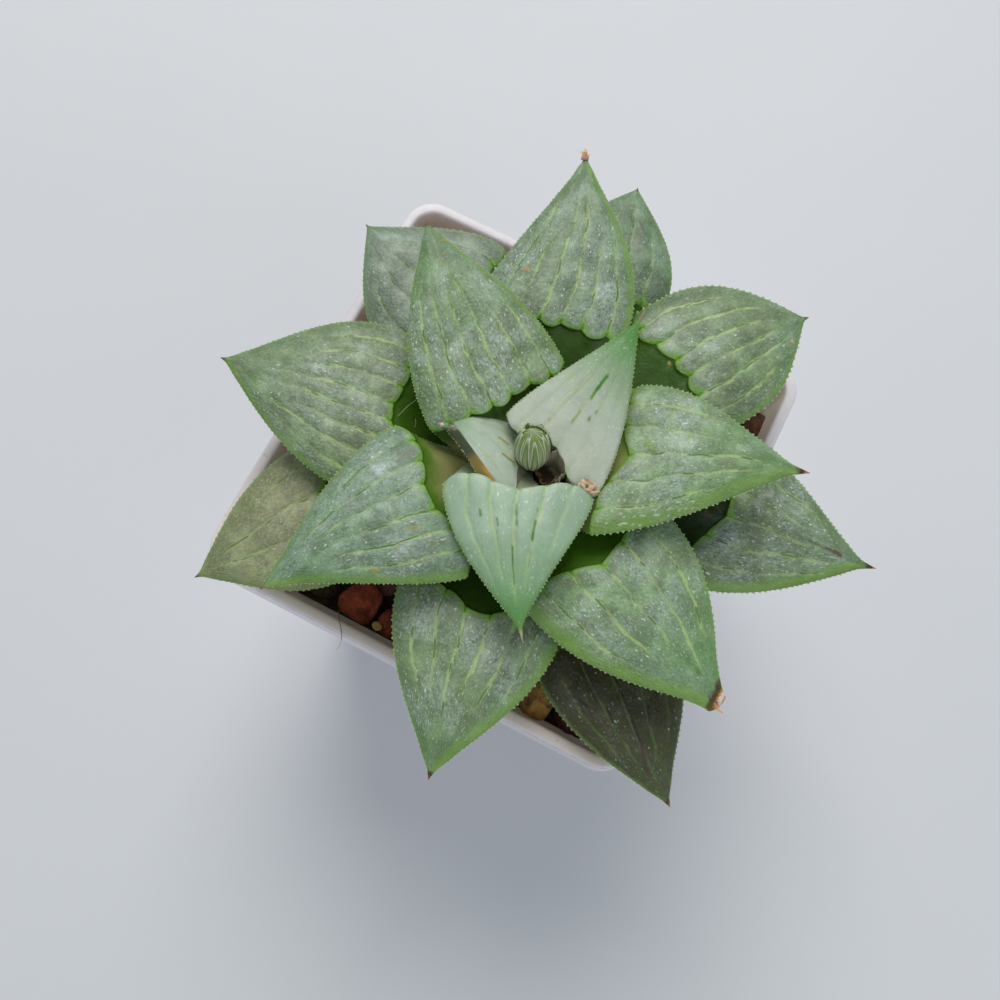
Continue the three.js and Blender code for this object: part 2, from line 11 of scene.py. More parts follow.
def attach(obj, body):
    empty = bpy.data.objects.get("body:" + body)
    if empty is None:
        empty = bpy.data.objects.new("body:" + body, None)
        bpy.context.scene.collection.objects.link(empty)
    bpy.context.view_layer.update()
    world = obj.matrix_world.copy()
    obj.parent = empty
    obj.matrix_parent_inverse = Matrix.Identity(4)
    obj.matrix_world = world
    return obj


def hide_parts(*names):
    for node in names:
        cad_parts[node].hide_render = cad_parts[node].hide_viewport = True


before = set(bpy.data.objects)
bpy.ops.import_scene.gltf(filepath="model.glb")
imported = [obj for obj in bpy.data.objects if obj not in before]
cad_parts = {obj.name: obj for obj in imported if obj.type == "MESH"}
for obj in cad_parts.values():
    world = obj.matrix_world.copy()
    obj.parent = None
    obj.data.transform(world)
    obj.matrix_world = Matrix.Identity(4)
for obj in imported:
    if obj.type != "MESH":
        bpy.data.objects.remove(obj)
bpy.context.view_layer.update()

# All sizes are in millimetres, in the part's frame, until a mesh is made from them.
MM = 0.001

# Pot
POT_WIDTH = 70.0
POT_BASE_WIDTH = 50.0
POT_HEIGHT = 64.0
POT_WALL = 1.2
POT_FLOOR = 1.8
RIM_WIDTH = 1.8
RIM_ROUND = 0.5
LIP_HEIGHT = 5.0
LIP_PROUD = 0.9
LIP_FLARE = 0.3
FOOT_ROUND = 1.0
LIP_UNDER_ROUND = 0.35
LIP_EDGE_ROUND = 0.2
RIM_CORNER = 5.0
BASE_CORNER = 4.0
INNER_CORNER_INSET = 1.5
CORNER_STEPS = 12
DRAIN_RADIUS = 3.0
DRAIN_REACH = 16.0
SLOT_LENGTH = 12.0
SLOT_WIDTH = 3.0
SLOT_REACH = 14.0
GROOVE_WIDTH = 5.0
GROOVE_DEPTH = 0.7
GROOVE_START = 11.0

# Plant
AXIS = np.array([3.5, -2.0])
SHOULDER_AT = 0.42
BASE_WIDTH = 11.0
BASE_WIDTH_SHARE = 0.6
BASE_THICKNESS = 3.4
SEAT_TOP = 13.5
SEAT_STEP = 1.12
SEAT_INSET = 0.6
SEAT_FACE = 0.35
SEAT_TURN = 0.25
NEAR_AXIS = 5.0
STEM_RADIUS_AT_RIM = 4.64
STEM_NARROWING = 0.18
STEM_RADII = (2.2, 5.2)
CROWN_SHARE = 0.24
ROOT_TIP = -19.0
TIP_POINT = 1.04
TIP_CLOSING = 0.06
MARGIN_REACH = 0.6
KEEL_REACH = 3.0
BEND = {"margin": 0.02, "face": 0.014, "keel": 0.16}
FACE_ROUNDING = (2.5, 0.75)
KEEL_ROUNDING = 1.7
WINDOW_BOW = 0.035
HEART_WIDTH = 0.3
SHOULDER_SPREAD = 0.13
VEIN_SPAN = 1.75
VEIN_GROOVE = 0.07
VEIN_GROOVE_WIDTH = 0.3
SWELL_HEIGHT = 0.11
LOBE_REACH = 2.6
# How many leaves have the pale skin of young ones
YOUNG = 3
# Starts of the random draws; those of a leaf are counted on by its age
SEEDS = dict(dots=4, husk=9, bud=77, veins=100, lobes=300, teeth=500, gravel=2024)


def srgb(red, green, blue):
    """A colour from 0 to 255 as linear light."""
    return tuple(
        c / 12.92 if c <= 0.04045 else ((c + 0.055) / 1.055) ** 2.4
        for c in (red / 255, green / 255, blue / 255)
    )


# Each leaf from the youngest to the oldest.
# shoulder, tip: where they lie, as direction in degrees about the plant's axis, reach from it and height
# above the rim. veins: how many cross the window. scallop: how far the window swells over its rear edge
# between them. teeth, gap: their height and distance. dry, awn: lengths of the dry tip and of its point.
# base: colour of the window. end, spike: colours of the dry tip and of its very point. brown: how stained
# the window is. frost: how thick its white flecks are, and how strong its painted sheen is. green: how
# much greener it is before the tip.
# bands: width of the plain green margins on the right and the left. vein: how clear the veins are.
# dark: how much shade is painted on the rear face; below 0, how much light is painted there.
# Then what only some leaves have. full: how full the outline is. roll, yaw, bend, heart, lobes: how the
# window turns, bends and is notched. point: half width of the awn for each millimetre from its end.
# blunt: half width of a tip that is cut short. beyond: how much further out the tip reaches. tan: how far
# below the rear edge the skin turns tan. pinch: how slim the leaf is below its shoulder. tuck: how far the
# rear face is tucked in. ridge: two points of the ridge behind which the leaf shows its outer face.
LEAF_COLUMNS = (
    "shoulder tip width thick veins scallop teeth gap dry awn "
    "base end spike brown frost green bands vein dark"
).split()
LEAF_ROWS = [
    ((267, 3.8, 18.5), (199, 12.5, 22), 12.8, 4, 3, 0.1, 0.12, 0.42, 0.9, 0.5,
     (188, 202, 182), (70, 78, 40), (150, 140, 120), 0.1, 0.3, 0.15, (0.1, 0.1), 0.4, 0.3,
     dict(roll=25, bend=-2, heart=0.2, lobes=0.9, ridge=((-0.2, -8.47), (-6.81, -5.06)), point=0.3)),
    ((328, 3, 20.5), (75, 19.5, 27), 16.5, 4.5, 5, 0.15, 0.14, 0.55, 1.7, 1.9,
     (202, 209, 188), (190, 120, 100), (214, 160, 140), 0, 0.5, 1.1, (0.3, 0.1), 0.2, 0.15,
     dict(full=0.8, yaw=-10, bend=-0.5, heart=1.8, lobes=0.4, point=0.07, beyond=2.6)),
    ((277, 6.5, 21.5), (293, 25, 20), 20, 5, 5, 0.18, 0.16, 0.6, 1.7, 1.9,
     (161, 187, 157), (196, 178, 150), (214, 190, 165), 0, 0.4, 0.9, (0.4, 0.4), 0.6, 0.2,
     dict(full=0.8, yaw=-7, bend=-1, heart=0.4, lobes=1.2, point=0.14, beyond=1.9, tuck=2.2)),
    ((152, 8, 20), (142.5, 35, 22), 21, 6.5, 6, 0.7, 0.16, 0.5, 1, 0.7,
     (126, 150, 109), (96, 52, 36), (200, 90, 50), 0.1, 1, 0.3, (0.7, 0.3), 0.9, 0.6,
     dict(yaw=6, bend=0.5, heart=-1, lobes=0.7, tan=4, beyond=0.5)),
    ((19, 10.5, 20), (21, 36, 20), 22.5, 7, 5, 0.3, 0.25, 0.75, 1.8, 2,
     (137, 164, 119), (66, 28, 26), (236, 140, 46), 0, 0.9, 0.45, (1.9, 0.4), 0.85, -1,
     dict(full=0.95, yaw=-14, bend=1, heart=2.2, lobes=0.2, point=0.3, tan=0.8, beyond=1.2)),
    ((234, 15, 18.5), (235.5, 41, 17), 23.5, 7, 6, 0.3, 0.2, 0.58, 0.8, 0.7,
     (126, 152, 121), (150, 120, 80), (90, 60, 40), 0.05, 0.8, 0.3, (0.5, 1.1), 0.75, 0,
     dict(full=0.8, yaw=-4, bend=-1, heart=1, lobes=0.9, tan=2.8, pinch=2.8)),
    ((110, 19.5, 17), (107, 46.5, 18), 22.5, 7.5, 6, 0.95, 0.18, 0.7, 0.9, 0.5,
     (127, 150, 115), (100, 84, 62), (120, 80, 50), 0.05, 0.75, 0.2, (1, 0.3), 0.9, 0.6,
     dict(full=0.95, bend=-1.5, heart=0.2, lobes=0.3)),
    ((327, 16.5, 16), (332.5, 42.5, 14), 24, 7.5, 5, 0.3, 0.21, 0.75, 0.5, 0.1,
     (126, 153, 110), (92, 48, 18), (150, 90, 40), 0, 0.75, 0.5, (1.9, 0.5), 0.9, 0.25,
     dict(full=1.15, yaw=-7, heart=1.5, lobes=0.4, blunt=1.5, beyond=-0.5)),
    ((189, 19.5, 14), (189, 46.5, 14), 27, 7.5, 8, 0.35, 0.18, 0.75, 0.8, 0.7,
     (129, 149, 108), (72, 56, 52), (60, 44, 40), 0.15, 0.6, 0.2, (0.4, 0.8), 0.95, 0.45,
     dict(full=1.15, yaw=15, heart=1.5, lobes=1.1, beyond=0.2)),
    ((60, 26.5, 13), (55.5, 47, 13), 22.5, 7.5, 6, 1.3, 0.28, 0.95, 0.9, 0.8,
     (121, 144, 102), (64, 46, 44), (200, 120, 90), 0.05, 0.55, 0.2, (0.7, 0.3), 1, 0.5,
     dict(full=1.6, yaw=13, bend=1, lobes=1.5)),
    ((278, 21.5, 12.5), (279.5, 45.5, 11), 23.5, 7.5, 6, 0.3, 0.21, 0.75, 1.2, 0.9,
     (125, 147, 108), (66, 36, 26), (150, 50, 30), 0.2, 0.8, 0.3, (0.4, 1.4), 0.9, 0.8,
     dict(full=1, yaw=-2, heart=1.7, lobes=0.7, beyond=0.2)),
    ((140, 28, 10), (150, 46, 10), 25, 7.5, 5, 0.3, 0.14, 0.8, 0.5, 0.5,
     (141, 157, 136), (84, 92, 72), (80, 80, 60), 0.2, 0.3, 0.1, (0.4, 0.4), 0.45, 0.1,
     dict(yaw=4, bend=1, heart=0.5, lobes=0.5)),
    ((13, 28, 10), (10.5, 51, 9), 23.5, 7.5, 5, 0.25, 0.25, 0.75, 1.7, 1.8,
     (109, 129, 91), (78, 34, 30), (238, 120, 50), 0.1, 0.75, 0.3, (1.5, 0.4), 0.6, 1,
     dict(full=0.9, yaw=-16, bend=-0.5, heart=1.2, lobes=0.4, point=0.27, beyond=0.3)),
    ((218, 29, 9), (226, 49.5, 8), 21, 7.5, 4, 0.3, 0.16, 0.8, 0.8, 0.7,
     (152, 156, 112), (104, 72, 44), (120, 70, 40), 0.35, 0.2, 0.1, (0.4, 0.4), 0.5, 0.1,
     dict(full=1.15, yaw=-7, heart=1.2, lobes=0.5, beyond=0.4)),
    ((96, 31, 9), (96.5, 49.5, 9), 20.5, 7, 4, 0.3, 0.14, 0.8, 0.8, 0.3,
     (116, 141, 109), (70, 72, 56), (70, 66, 56), 0.1, 0.3, 0.1, (0.5, 0.3), 0.45, 0.2,
     dict(full=1.25, yaw=3, heart=0.5, lobes=0.5)),
    ((319, 27.5, 6.5), (319, 50.5, 5), 21, 7, 5, 0.3, 0.18, 0.8, 1.2, 0.9,
     (52, 52, 14), (70, 40, 28), (224, 110, 60), 0.9, 0.12, 0.12, (0.4, 0.15), 0.16, 0.9,
     dict(full=1, yaw=-17, bend=-0.5, heart=0.5, lobes=0.5, beyond=0.4)),
]
RARE_TRAITS = dict(
    full=1.1, roll=0, yaw=0, bend=0, heart=0, lobes=0, point=0.38, blunt=None, beyond=0, tan=None, pinch=1.0,
    tuck=0.7, ridge=None,
)
LEAVES = [{**dict(zip(LEAF_COLUMNS, row)), **row[-1]} for row in LEAF_ROWS]
# Spots and streaks on single leaves, numbered from 0 for the youngest: start and end in the part's plan,
# half width, colour and strength
SPOTS = {
    0: [(-1.2, -3.2, 0.2, -3.4, 0.17, (168, 150, 50), 0.85),
        (0.3, -5.2, 2.1, -5.3, 0.17, (160, 138, 44), 0.85), (0.4, -3.8, 1, -3.8, 0.1, (180, 180, 90), 0.6)],
    1: [(7.7, 5.8, 7.9, 7.4, 0.2, (84, 150, 36), 0.9), (7.9, 7.2, 8.3, 9.3, 0.26, (66, 138, 28), 0.95),
        (6.8, 2.1, 7.2, 3.8, 0.15, (150, 172, 60), 0.75), (8.7, 3.2, 8.6, 3.4, 0.2, (90, 150, 40), 0.85),
        (9.1, 4.3, 9.2, 4.8, 0.12, (110, 160, 60), 0.8), (4, 1.1, 3.9, 1.3, 0.15, (192, 194, 110), 0.8),
        (1.5, 0.1, 1.5, 0.2, 0.12, (200, 196, 120), 0.7), (3.8, 2.1, 4.9, 5.5, 0.14, (214, 220, 158), 0.7),
        (5, 5.1, 6.3, 8.5, 0.1, (206, 218, 160), 0.6), (7.2, 3.7, 7.7, 5.9, 0.12, (196, 212, 130), 0.6),
        (9.2, 4.7, 9.6, 5.7, 0.1, (196, 214, 140), 0.55),
        (11.3, -2.1, 10.7, 0.4, 0.14, (222, 222, 190), 0.5)],
    2: [(1.4, -14, 1.9, -14.7, 0.2, (70, 132, 70), 0.85),
        (2.1, -15.6, 2.3, -15.8, 0.1, (110, 160, 80), 0.7),
        (3.9, -13.9, 4.5, -14.8, 0.18, (64, 128, 62), 0.85),
        (4.6, -15.2, 5.4, -16.6, 0.1, (96, 150, 80), 0.6),
        (5.3, -11.2, 6.7, -13.7, 0.15, (80, 140, 66), 0.85),
        (7.3, -16.3, 8.4, -18.3, 0.16, (60, 120, 60), 0.85),
        (8.4, -18.3, 9.8, -20.6, 0.12, (70, 130, 64), 0.7),
        (7.9, -10.3, 8.2, -10.7, 0.14, (100, 152, 80), 0.8),
        (8.5, -11.9, 8.9, -13.3, 0.15, (84, 140, 70), 0.85),
        (8.9, -13.3, 9.3, -14.5, 0.2, (62, 122, 58), 0.85),
        (10, -9.5, 10.1, -9.6, 0.12, (120, 168, 80), 0.8),
        (9.8, -15.9, 10.4, -17.7, 0.1, (90, 146, 76), 0.6)],
    3: [(-21.2, 18.2, -21.1, 18.2, 0.2, (214, 170, 60), 0.85)],
    4: [(17.3, 4.7, 17.9, 4.7, 0.45, (156, 184, 74), 0.55)],
    5: [(-7.6, -26.9, -6.8, -26.5, 0.22, (172, 156, 44), 0.75),
        (-6.2, -20, -5, -19.1, 0.36, (172, 168, 116), 0.75),
        (-5.9, -19.8, -5.3, -19.3, 0.14, (146, 152, 100), 0.85)],
    6: [(-9.6, 21.9, -9.5, 22, 0.48, (180, 152, 80), 0.85),
        (-9.6, 21.9, -9.5, 22, 0.2, (150, 142, 104), 0.9),
        (-2.8, 24.7, -2.8, 24.7, 0.2, (204, 150, 56), 0.85)],
    7: [(40.1, -18.5, 40, -22.2, 1, (74, 38, 12), 0.9),
        (40.5, -19, 40.4, -21.5, 0.74, (206, 124, 50), 0.95),
        (40.6, -19.4, 40.5, -21.1, 0.44, (236, 220, 208), 0.97),
        (40.2, -22.3, 40.5, -22.2, 0.3, (70, 34, 14), 0.98),
        (36, -18.6, 36.4, -18.8, 0.3, (70, 116, 40), 0.6)],
    8: [(-28.4, -2.3, -28.3, -2.3, 0.18, (192, 168, 70), 0.8),
        (-24.4, 2.2, -24.4, 2.2, 0.2, (196, 170, 70), 0.8),
        (-28.3, 2, -28.2, 2, 0.3, (190, 178, 140), 0.5)],
    9: [(29.2, 31.9, 29.4, 31.8, 0.26, (222, 190, 132), 0.9),
        (14.7, 20.7, 14.8, 20.6, 0.26, (206, 190, 96), 0.9)],
    10: [(-2.1, -27.6, -2, -27.7, 0.28, (184, 170, 90), 0.7),
        (1.5, -32.3, 1.6, -32.3, 0.12, (190, 120, 50), 0.8)],
    12: [(46.1, 6.4, 47.2, 6.5, 0.22, (96, 60, 64), 0.8), (47.3, 6.6, 48.4, 6.5, 0.34, (92, 60, 60), 0.85),
        (39.6, 5.8, 42.8, 6, 0.1, (58, 84, 50), 0.6), (42.8, 6.1, 46, 6.3, 0.12, (60, 70, 46), 0.65)],
    14: [(0.8, 41.4, 1.7, 40.5, 0.22, (92, 78, 62), 0.7), (1.1, 36.3, 1.8, 35.5, 0.2, (92, 84, 62), 0.6)],
    15: [(22.3, -23, 25.3, -25.5, 0.2, (28, 22, 18), 0.75),
        (27.2, -23, 30.6, -25.8, 0.2, (30, 22, 18), 0.75),
        (30.6, -25.8, 32.7, -27.9, 0.2, (30, 22, 18), 0.75),
        (32.7, -27.9, 34.5, -29.5, 0.22, (34, 24, 20), 0.75),
        (34.6, -29.5, 36.9, -32.6, 0.3, (74, 54, 52), 0.8), (28.2, -27.3, 30, -29, 0.2, (30, 22, 18), 0.75),
        (33.1, -24.3, 34.6, -26.7, 0.2, (32, 22, 18), 0.7),
        (24.4, -28.1, 25.8, -28.5, 0.18, (26, 26, 16), 0.75),
        (30.1, -29, 32.2, -30.5, 0.1, (36, 28, 22), 0.6)],
}
# White dots in rows on the fifth leaf: columns, rows, their pitch, the middle, and the directions of a row
# and of a column
DOT_COLUMNS, DOT_ROWS = 11, 4
DOT_PITCH = (1.1, 1.0)
DOT_MIDDLE = (21.4, -3.4)
DOT_ROW, DOT_COLUMN = (0.888, 0.459), (0.42, -0.91)
DOTTED = random.Random(SEEDS["dots"])
for k in range(DOT_COLUMNS * DOT_ROWS):
    a = DOT_PITCH[0] * (k % DOT_COLUMNS - 5) + DOTTED.uniform(-0.4, 0.4)
    b = DOT_PITCH[1] * (k // DOT_COLUMNS - 1.5) + DOTTED.uniform(-0.3, 0.3)
    x, y = [DOT_MIDDLE[i] + DOT_ROW[i] * a + DOT_COLUMN[i] * b for i in (0, 1)]
    SPOTS[4].append((x, y, x + 0.22, y + 0.11, 0.16, (220, 230, 206), 0.75))
# Whitish patches of painted sheen, numbered in the same way: middle in the part's plan, radius and strength
SHEEN_PATCHES = {
    3: [((-12.0, 14.0), 3.0, 0.5)],
    4: [((20.9, 7.9), 2.4, 0.7), ((15.0, 1.0), 2.6, 0.5)],
    5: [((-13.0, -14.5), 1.9, 1.0), ((-6.1, -22.3), 2.6, 0.7), ((-15.0, -20.0), 2.6, 0.5)],
    6: [((2.2, 24.1), 2.4, 0.9), ((-4.0, 30.0), 2.6, 0.5)],
    7: [((23.5, -10.3), 1.7, 0.9), ((29.0, -14.0), 3.0, 0.5)],
    8: [((-28.7, -4.5), 3.0, 0.6), ((-20.0, 0.5), 2.6, 0.4)],
    9: [((19.0, 25.5), 2.6, 0.5)],
    10: [((0.1, -29.2), 1.9, 1.0), ((9.0, -28.5), 3.4, 0.6)],
    12: [((32.7, 0.9), 2.8, 1.0), ((40.0, 2.5), 3.0, 0.5)],
}


# Shapes in numbers
def unit(vector):
    vector = np.asarray(vector, float)
    return vector / np.linalg.norm(vector)


def smooth(low, high, x):
    """0 below low, 1 above high, and an even turn between."""
    share = np.clip((np.asarray(x, float) - low) / (high - low), 0, 1)
    return share * share * (3 - 2 * share)


def about(direction, reach, height):
    """A point given about the plant's axis, by direction in degrees, reach and height above the rim."""
    angle = math.radians(direction)
    x, y = AXIS + reach * np.array([math.cos(angle), math.sin(angle)])
    return np.array([x, y, POT_HEIGHT + height])


def lumps(points, size, seed=0.0):
    """Smooth noise from -1 to 1 whose lumps are about size wide."""
    flat = np.asarray(points, float).reshape(-1, 3) / size + seed
    return np.array([noise.noise(p) for p in flat]).reshape(np.shape(points)[:-1])


def cornered(start, corner, end, softness, s):
    """Points of a path from start to end that turns at corner."""
    x = s - SHOULDER_AT
    root = np.hypot(x, softness)
    before = np.outer((x - root) / 2 / SHOULDER_AT, corner - start)
    after = np.outer((x + root) / 2 / (1 - SHOULDER_AT), end - corner)
    return corner + before + after


class Leaf:
    """The surface of one leaf: s runs from its seat to its tip, v across it from -1 to 1."""

    def __init__(self, age):
        vars(self).update(RARE_TRAITS, **LEAVES[age], age=age)
        shoulder, tip = about(*self.shoulder), about(*self.tip)
        outward = (tip - shoulder) * [1, 1, 0]
        tip = tip + self.beyond * unit(outward)
        seat_height = SEAT_TOP - SEAT_STEP * age
        middle = (shoulder + tip) / 2
        direction = self.shoulder[0]
        if self.shoulder[1] <= NEAR_AXIS:
            direction = math.degrees(math.atan2(middle[1] - AXIS[1], middle[0] - AXIS[0]))
        stem_radius = STEM_RADIUS_AT_RIM - STEM_NARROWING * seat_height
        stem_radius = min(max(stem_radius, STEM_RADII[0]), STEM_RADII[1])
        seat = about(direction, stem_radius * SEAT_INSET, seat_height)

        self.tip = tip
        self.length = np.linalg.norm(tip - shoulder)
        self.rear_length = np.linalg.norm(shoulder - seat)
        self.along = unit(tip - shoulder)
        turn = Matrix.Rotation(math.radians(self.roll), 3, Vector(self.along))
        self.across = np.array(turn @ Vector(unit([-self.along[1], self.along[0], 0])))
        self.up = np.cross(self.along, self.across)
        angle = math.radians(direction)
        self.seat_across = np.array([-math.sin(angle), math.cos(angle), 0])
        seat_up = unit(np.cross(unit(shoulder - seat), self.seat_across))
        self.paths = {
            "margin": (seat, shoulder + MARGIN_REACH * self.along - CROWN_SHARE * self.thick * self.up, tip),
            "face": (seat + BASE_THICKNESS * SEAT_FACE * seat_up, shoulder, tip),
            "keel": (seat + BASE_THICKNESS * (SEAT_FACE - 1) * seat_up,
                     shoulder + KEEL_REACH * self.along - self.thick * self.up, tip),
        }
        # Veins lie at the whole numbers of the lane, which runs across the window.
        self.lane_step = VEIN_SPAN / self.veins
        self.lane_start = 0.5 if self.veins % 2 == 0 else 0.0
        rng = random.Random(SEEDS["veins"] + age)
        self.vein_ends = {k: rng.uniform(0.6, 0.92) - 0.06 * abs(k - self.lane_start) for k in range(-6, 7)}
        self.seed = 10.0 * age + 3.7

    def path(self, kind, s):
        return cornered(*self.paths[kind], BEND[kind], s)

    def window_share(self, s):
        return (s - SHOULDER_AT) / (1 - SHOULDER_AT)

    def on_window(self, s):
        return np.clip(self.window_share(s), 0, 1)

    def from_edge(self, s):
        """Millimetres from the shoulder edge: above 0 on the window, below 0 on the rear face."""
        t = self.window_share(s)
        return np.where(t > 0, t * self.length, (s / SHOULDER_AT - 1) * self.rear_length)

    def half_width(self, s):
        t = self.on_window(s)
        to_end = (1 - t) * self.length
        body = np.clip(t / (1 - self.awn / self.length), 0, 1)
        window = self.width / 2 * np.cos(np.pi / 2 * body ** self.full) ** TIP_POINT
        cone = self.point * to_end * smooth(4 * self.awn + 3, 2 * self.awn + 1, to_end)
        window = (window**3 + cone**3) ** (1 / 3)
        if self.blunt:
            cut_end = self.blunt * np.sqrt(np.clip(to_end / 0.4, 0, 1)) * smooth(8.0, 2.0, to_end)
            window = np.hypot(window, cut_end)
        base = min(BASE_WIDTH, self.width * BASE_WIDTH_SHARE) / 2
        below = base + (self.width / 2 - base) * np.clip(s / SHOULDER_AT, 0, 1) ** self.pinch
        return np.where(s > SHOULDER_AT, window, below)

    def margin(self, s):
        return self.path("margin", s) + np.outer(self.bend * np.sin(np.pi * self.on_window(s)), self.across)

    def sideways(self, s):
        turn = math.radians(self.yaw) * (1 - self.on_window(s))
        at_window = np.outer(np.cos(turn), self.across) - np.outer(np.sin(turn), self.along)
        share = smooth(SHOULDER_AT - SEAT_TURN, SHOULDER_AT, s)[:, None]
        mixed = self.seat_across * (1 - share) + at_window * share
        return mixed / np.linalg.norm(mixed, axis=1)[:, None]

    def beyond_ridge(self, points):
        """How far points lie beyond the ridge of a leaf that shows its outer face."""
        if not self.ridge:
            return np.zeros(points.shape[:-1])
        foot, head = np.array(self.ridge)
        along = unit(head - foot)
        return (points[..., :2] - foot) @ np.array([-along[1], along[0]])

    def fold(self, points):
        return np.minimum(0.5 * np.maximum(self.beyond_ridge(points), 0), 1.3)

    def surface(self, s, v, kind):
        """A grid of points, one row for each s and one column for each v."""
        half = self.half_width(s)
        slim = np.clip(half / (0.12 * self.width), 0.15, 1)
        closing = np.sqrt(np.clip((1 - s) / TIP_CLOSING, 0, 1)) * slim
        rise = (self.path(kind, s) - self.path("margin", s)) * closing[:, None]
        if kind == "face":
            rise = rise + np.outer(WINDOW_BOW * self.width * np.sin(np.pi * self.on_window(s)), self.up)
            profile = (1 - np.abs(v) ** FACE_ROUNDING[0]) ** FACE_ROUNDING[1]
        else:
            profile = 1 - np.abs(v) ** KEEL_ROUNDING
        points = self.margin(s)[:, None] + self.sideways(s)[:, None] * (half[:, None] * v)[..., None]
        points = points + rise[:, None] * profile[None, :, None]
        points = points - self.fold(points)[..., None] * self.up
        if kind == "face":
            rear = self.heart * np.exp(-((v / HEART_WIDTH) ** 2)) - self.lobes * 4 * v**2 * (1 - v**2)
            fade = np.exp(-(((s - SHOULDER_AT) / SHOULDER_SPREAD) ** 2))
            tuck = self.tuck * smooth(SHOULDER_AT, SHOULDER_AT - 0.03, s) * smooth(0.16, 0.36, s)
            points = points + (np.outer(fade, rear) + np.outer(tuck, 1 - v**4))[..., None] * self.along
        return points

    def lanes(self, points, s, v):
        """Where each point lies between the veins, and how strong the nearest vein is there."""
        t = self.window_share(s)[:, None]
        half = self.half_width(s)[:, None]
        sway = 0.7 * lumps(points, 6.0, self.seed) + 0.34 * lumps(points, 1.7, self.seed)
        lane = v[None] / self.lane_step + self.lane_start + sway / (half * self.lane_step + 1.0)
        nearest = np.round(lane).astype(int)
        ends = np.vectorize(lambda k: self.vein_ends.get(k, 0.3))(nearest)
        strength = smooth(0, 0.15, ends - t) * smooth(-0.04, 0.0, t)
        return lane, strength * (np.abs(nearest - self.lane_start) < self.veins / 2 + 0.1)


# Meshes
def make_object(name, points, faces, sharp=None):
    """A smooth piece, with edges sharper than so many degrees left sharp. Without that it is flat."""
    mesh = bpy.data.meshes.new(name)
    mesh.from_pydata((np.asarray(points, float) * MM).tolist(), [], faces)
    mesh.update()
    if sharp:
        mesh.shade_smooth()
        mesh.set_sharp_from_angle(angle=math.radians(sharp))
    piece = bpy.data.objects.new(name, mesh)
    bpy.context.scene.collection.objects.link(piece)
    return piece


def set_attribute(piece, name, values):
    """One number, vector or colour for each point of a piece."""
    values = np.asarray(values, np.float32)
    size = values.shape[1] if values.ndim > 1 else 1
    kind, field = {1: ("FLOAT", "value"), 3: ("FLOAT_VECTOR", "vector"), 4: ("FLOAT_COLOR", "color")}[size]
    piece.data.attributes.new(name, kind, "POINT").data.foreach_set(field, values.ravel())


def grid_faces(rows, columns, first=0, flip=False):
    """Quads between the rows of a grid whose vertices are numbered row by row."""
    index = first + np.arange(rows * columns).reshape(rows, columns)
    quads = np.stack([index[:-1, :-1], index[1:, :-1], index[1:, 1:], index[:-1, 1:]], -1).reshape(-1, 4)
    return quads[:, ::-1].tolist() if flip else quads.tolist()


def tube_faces(rows, sides, first=0):
    """Quads around a tube of rings."""
    return [
        [first + k * sides + i, first + k * sides + (i + 1) % sides,
         first + (k + 1) * sides + (i + 1) % sides, first + (k + 1) * sides + i]
        for k in range(rows - 1) for i in range(sides)
    ]


def closed_tube(rows, sides):
    """Faces of a tube of rings with flat ends."""
    last = (rows - 1) * sides
    return tube_faces(rows, sides) + [list(range(sides))[::-1], list(range(last, last + sides))]


def closed_sheet(front, back):
    """Points and faces of a grid and of a second one behind it, joined around their borders."""
    rows, columns = front.shape[:2]
    n = rows * columns
    faces = grid_faces(rows, columns, 0, True) + grid_faces(rows, columns, n)
    index = np.arange(n).reshape(rows, columns)
    border = np.concatenate([index[0], index[1:, -1], index[-1, -2::-1], index[-2:0:-1, 0]]).tolist()
    faces += [[a + n, b + n, b, a] for a, b in zip(border, border[1:] + border[:1])]
    return np.concatenate([front.reshape(-1, 3), back.reshape(-1, 3)]), faces


def flipped(faces):
    return [face[::-1] for face in faces]


def joined(parts):
    points, faces = [], []
    for part_points, part_faces in parts:
        first = len(points)
        points += [tuple(p) for p in part_points]
        faces += [[first + k for k in face] for face in part_faces]
    return points, faces


def circle(sides):
    return np.arange(sides) * 2 * math.pi / sides


def grid_normals(points):
    normals = np.cross(np.gradient(points, axis=0), np.gradient(points, axis=1))
    return normals / np.maximum(np.linalg.norm(normals, axis=-1, keepdims=True), 1e-9)


# Leaves
FACE_COLUMNS = 121
KEEL_COLUMNS = 31
ROWS = np.concatenate([
    np.linspace(0, 0.34, 12),
    np.linspace(0.34, 0.46, 28)[1:],
    np.linspace(0.46, 0.94, 56)[1:],
    np.linspace(0.94, 0.998, 14)[1:],
])
# The bud and the dry stalk stand in hollows of the youngest leaves: foot, apex and radius of each
BUD_FOOT = (290, 2.4, 17.0)
BUD_APEX = (150, 0.8, 23.2)
BUD_RADIUS = 2.3
HUSK_FOOT = (333, 3.9, 12.5)
HUSK_HEIGHT = 8.0
HUSK_RADIUS = 2.0
BUD_ROOM = 0.4
HUSK_ROOM = 0.3
# How opaque the paint of dry skin is
DRY_PAINT = 0.97
# Where teeth stand along a leaf, and how deep they are set in its margin
TOOTHED = (0.22, 0.985)
TOOTH_SINK = 0.12


def bud_radius(u):
    return BUD_RADIUS * np.sin(np.pi * np.clip(0.06 + 0.88 * u, 0, 1)) ** 0.72


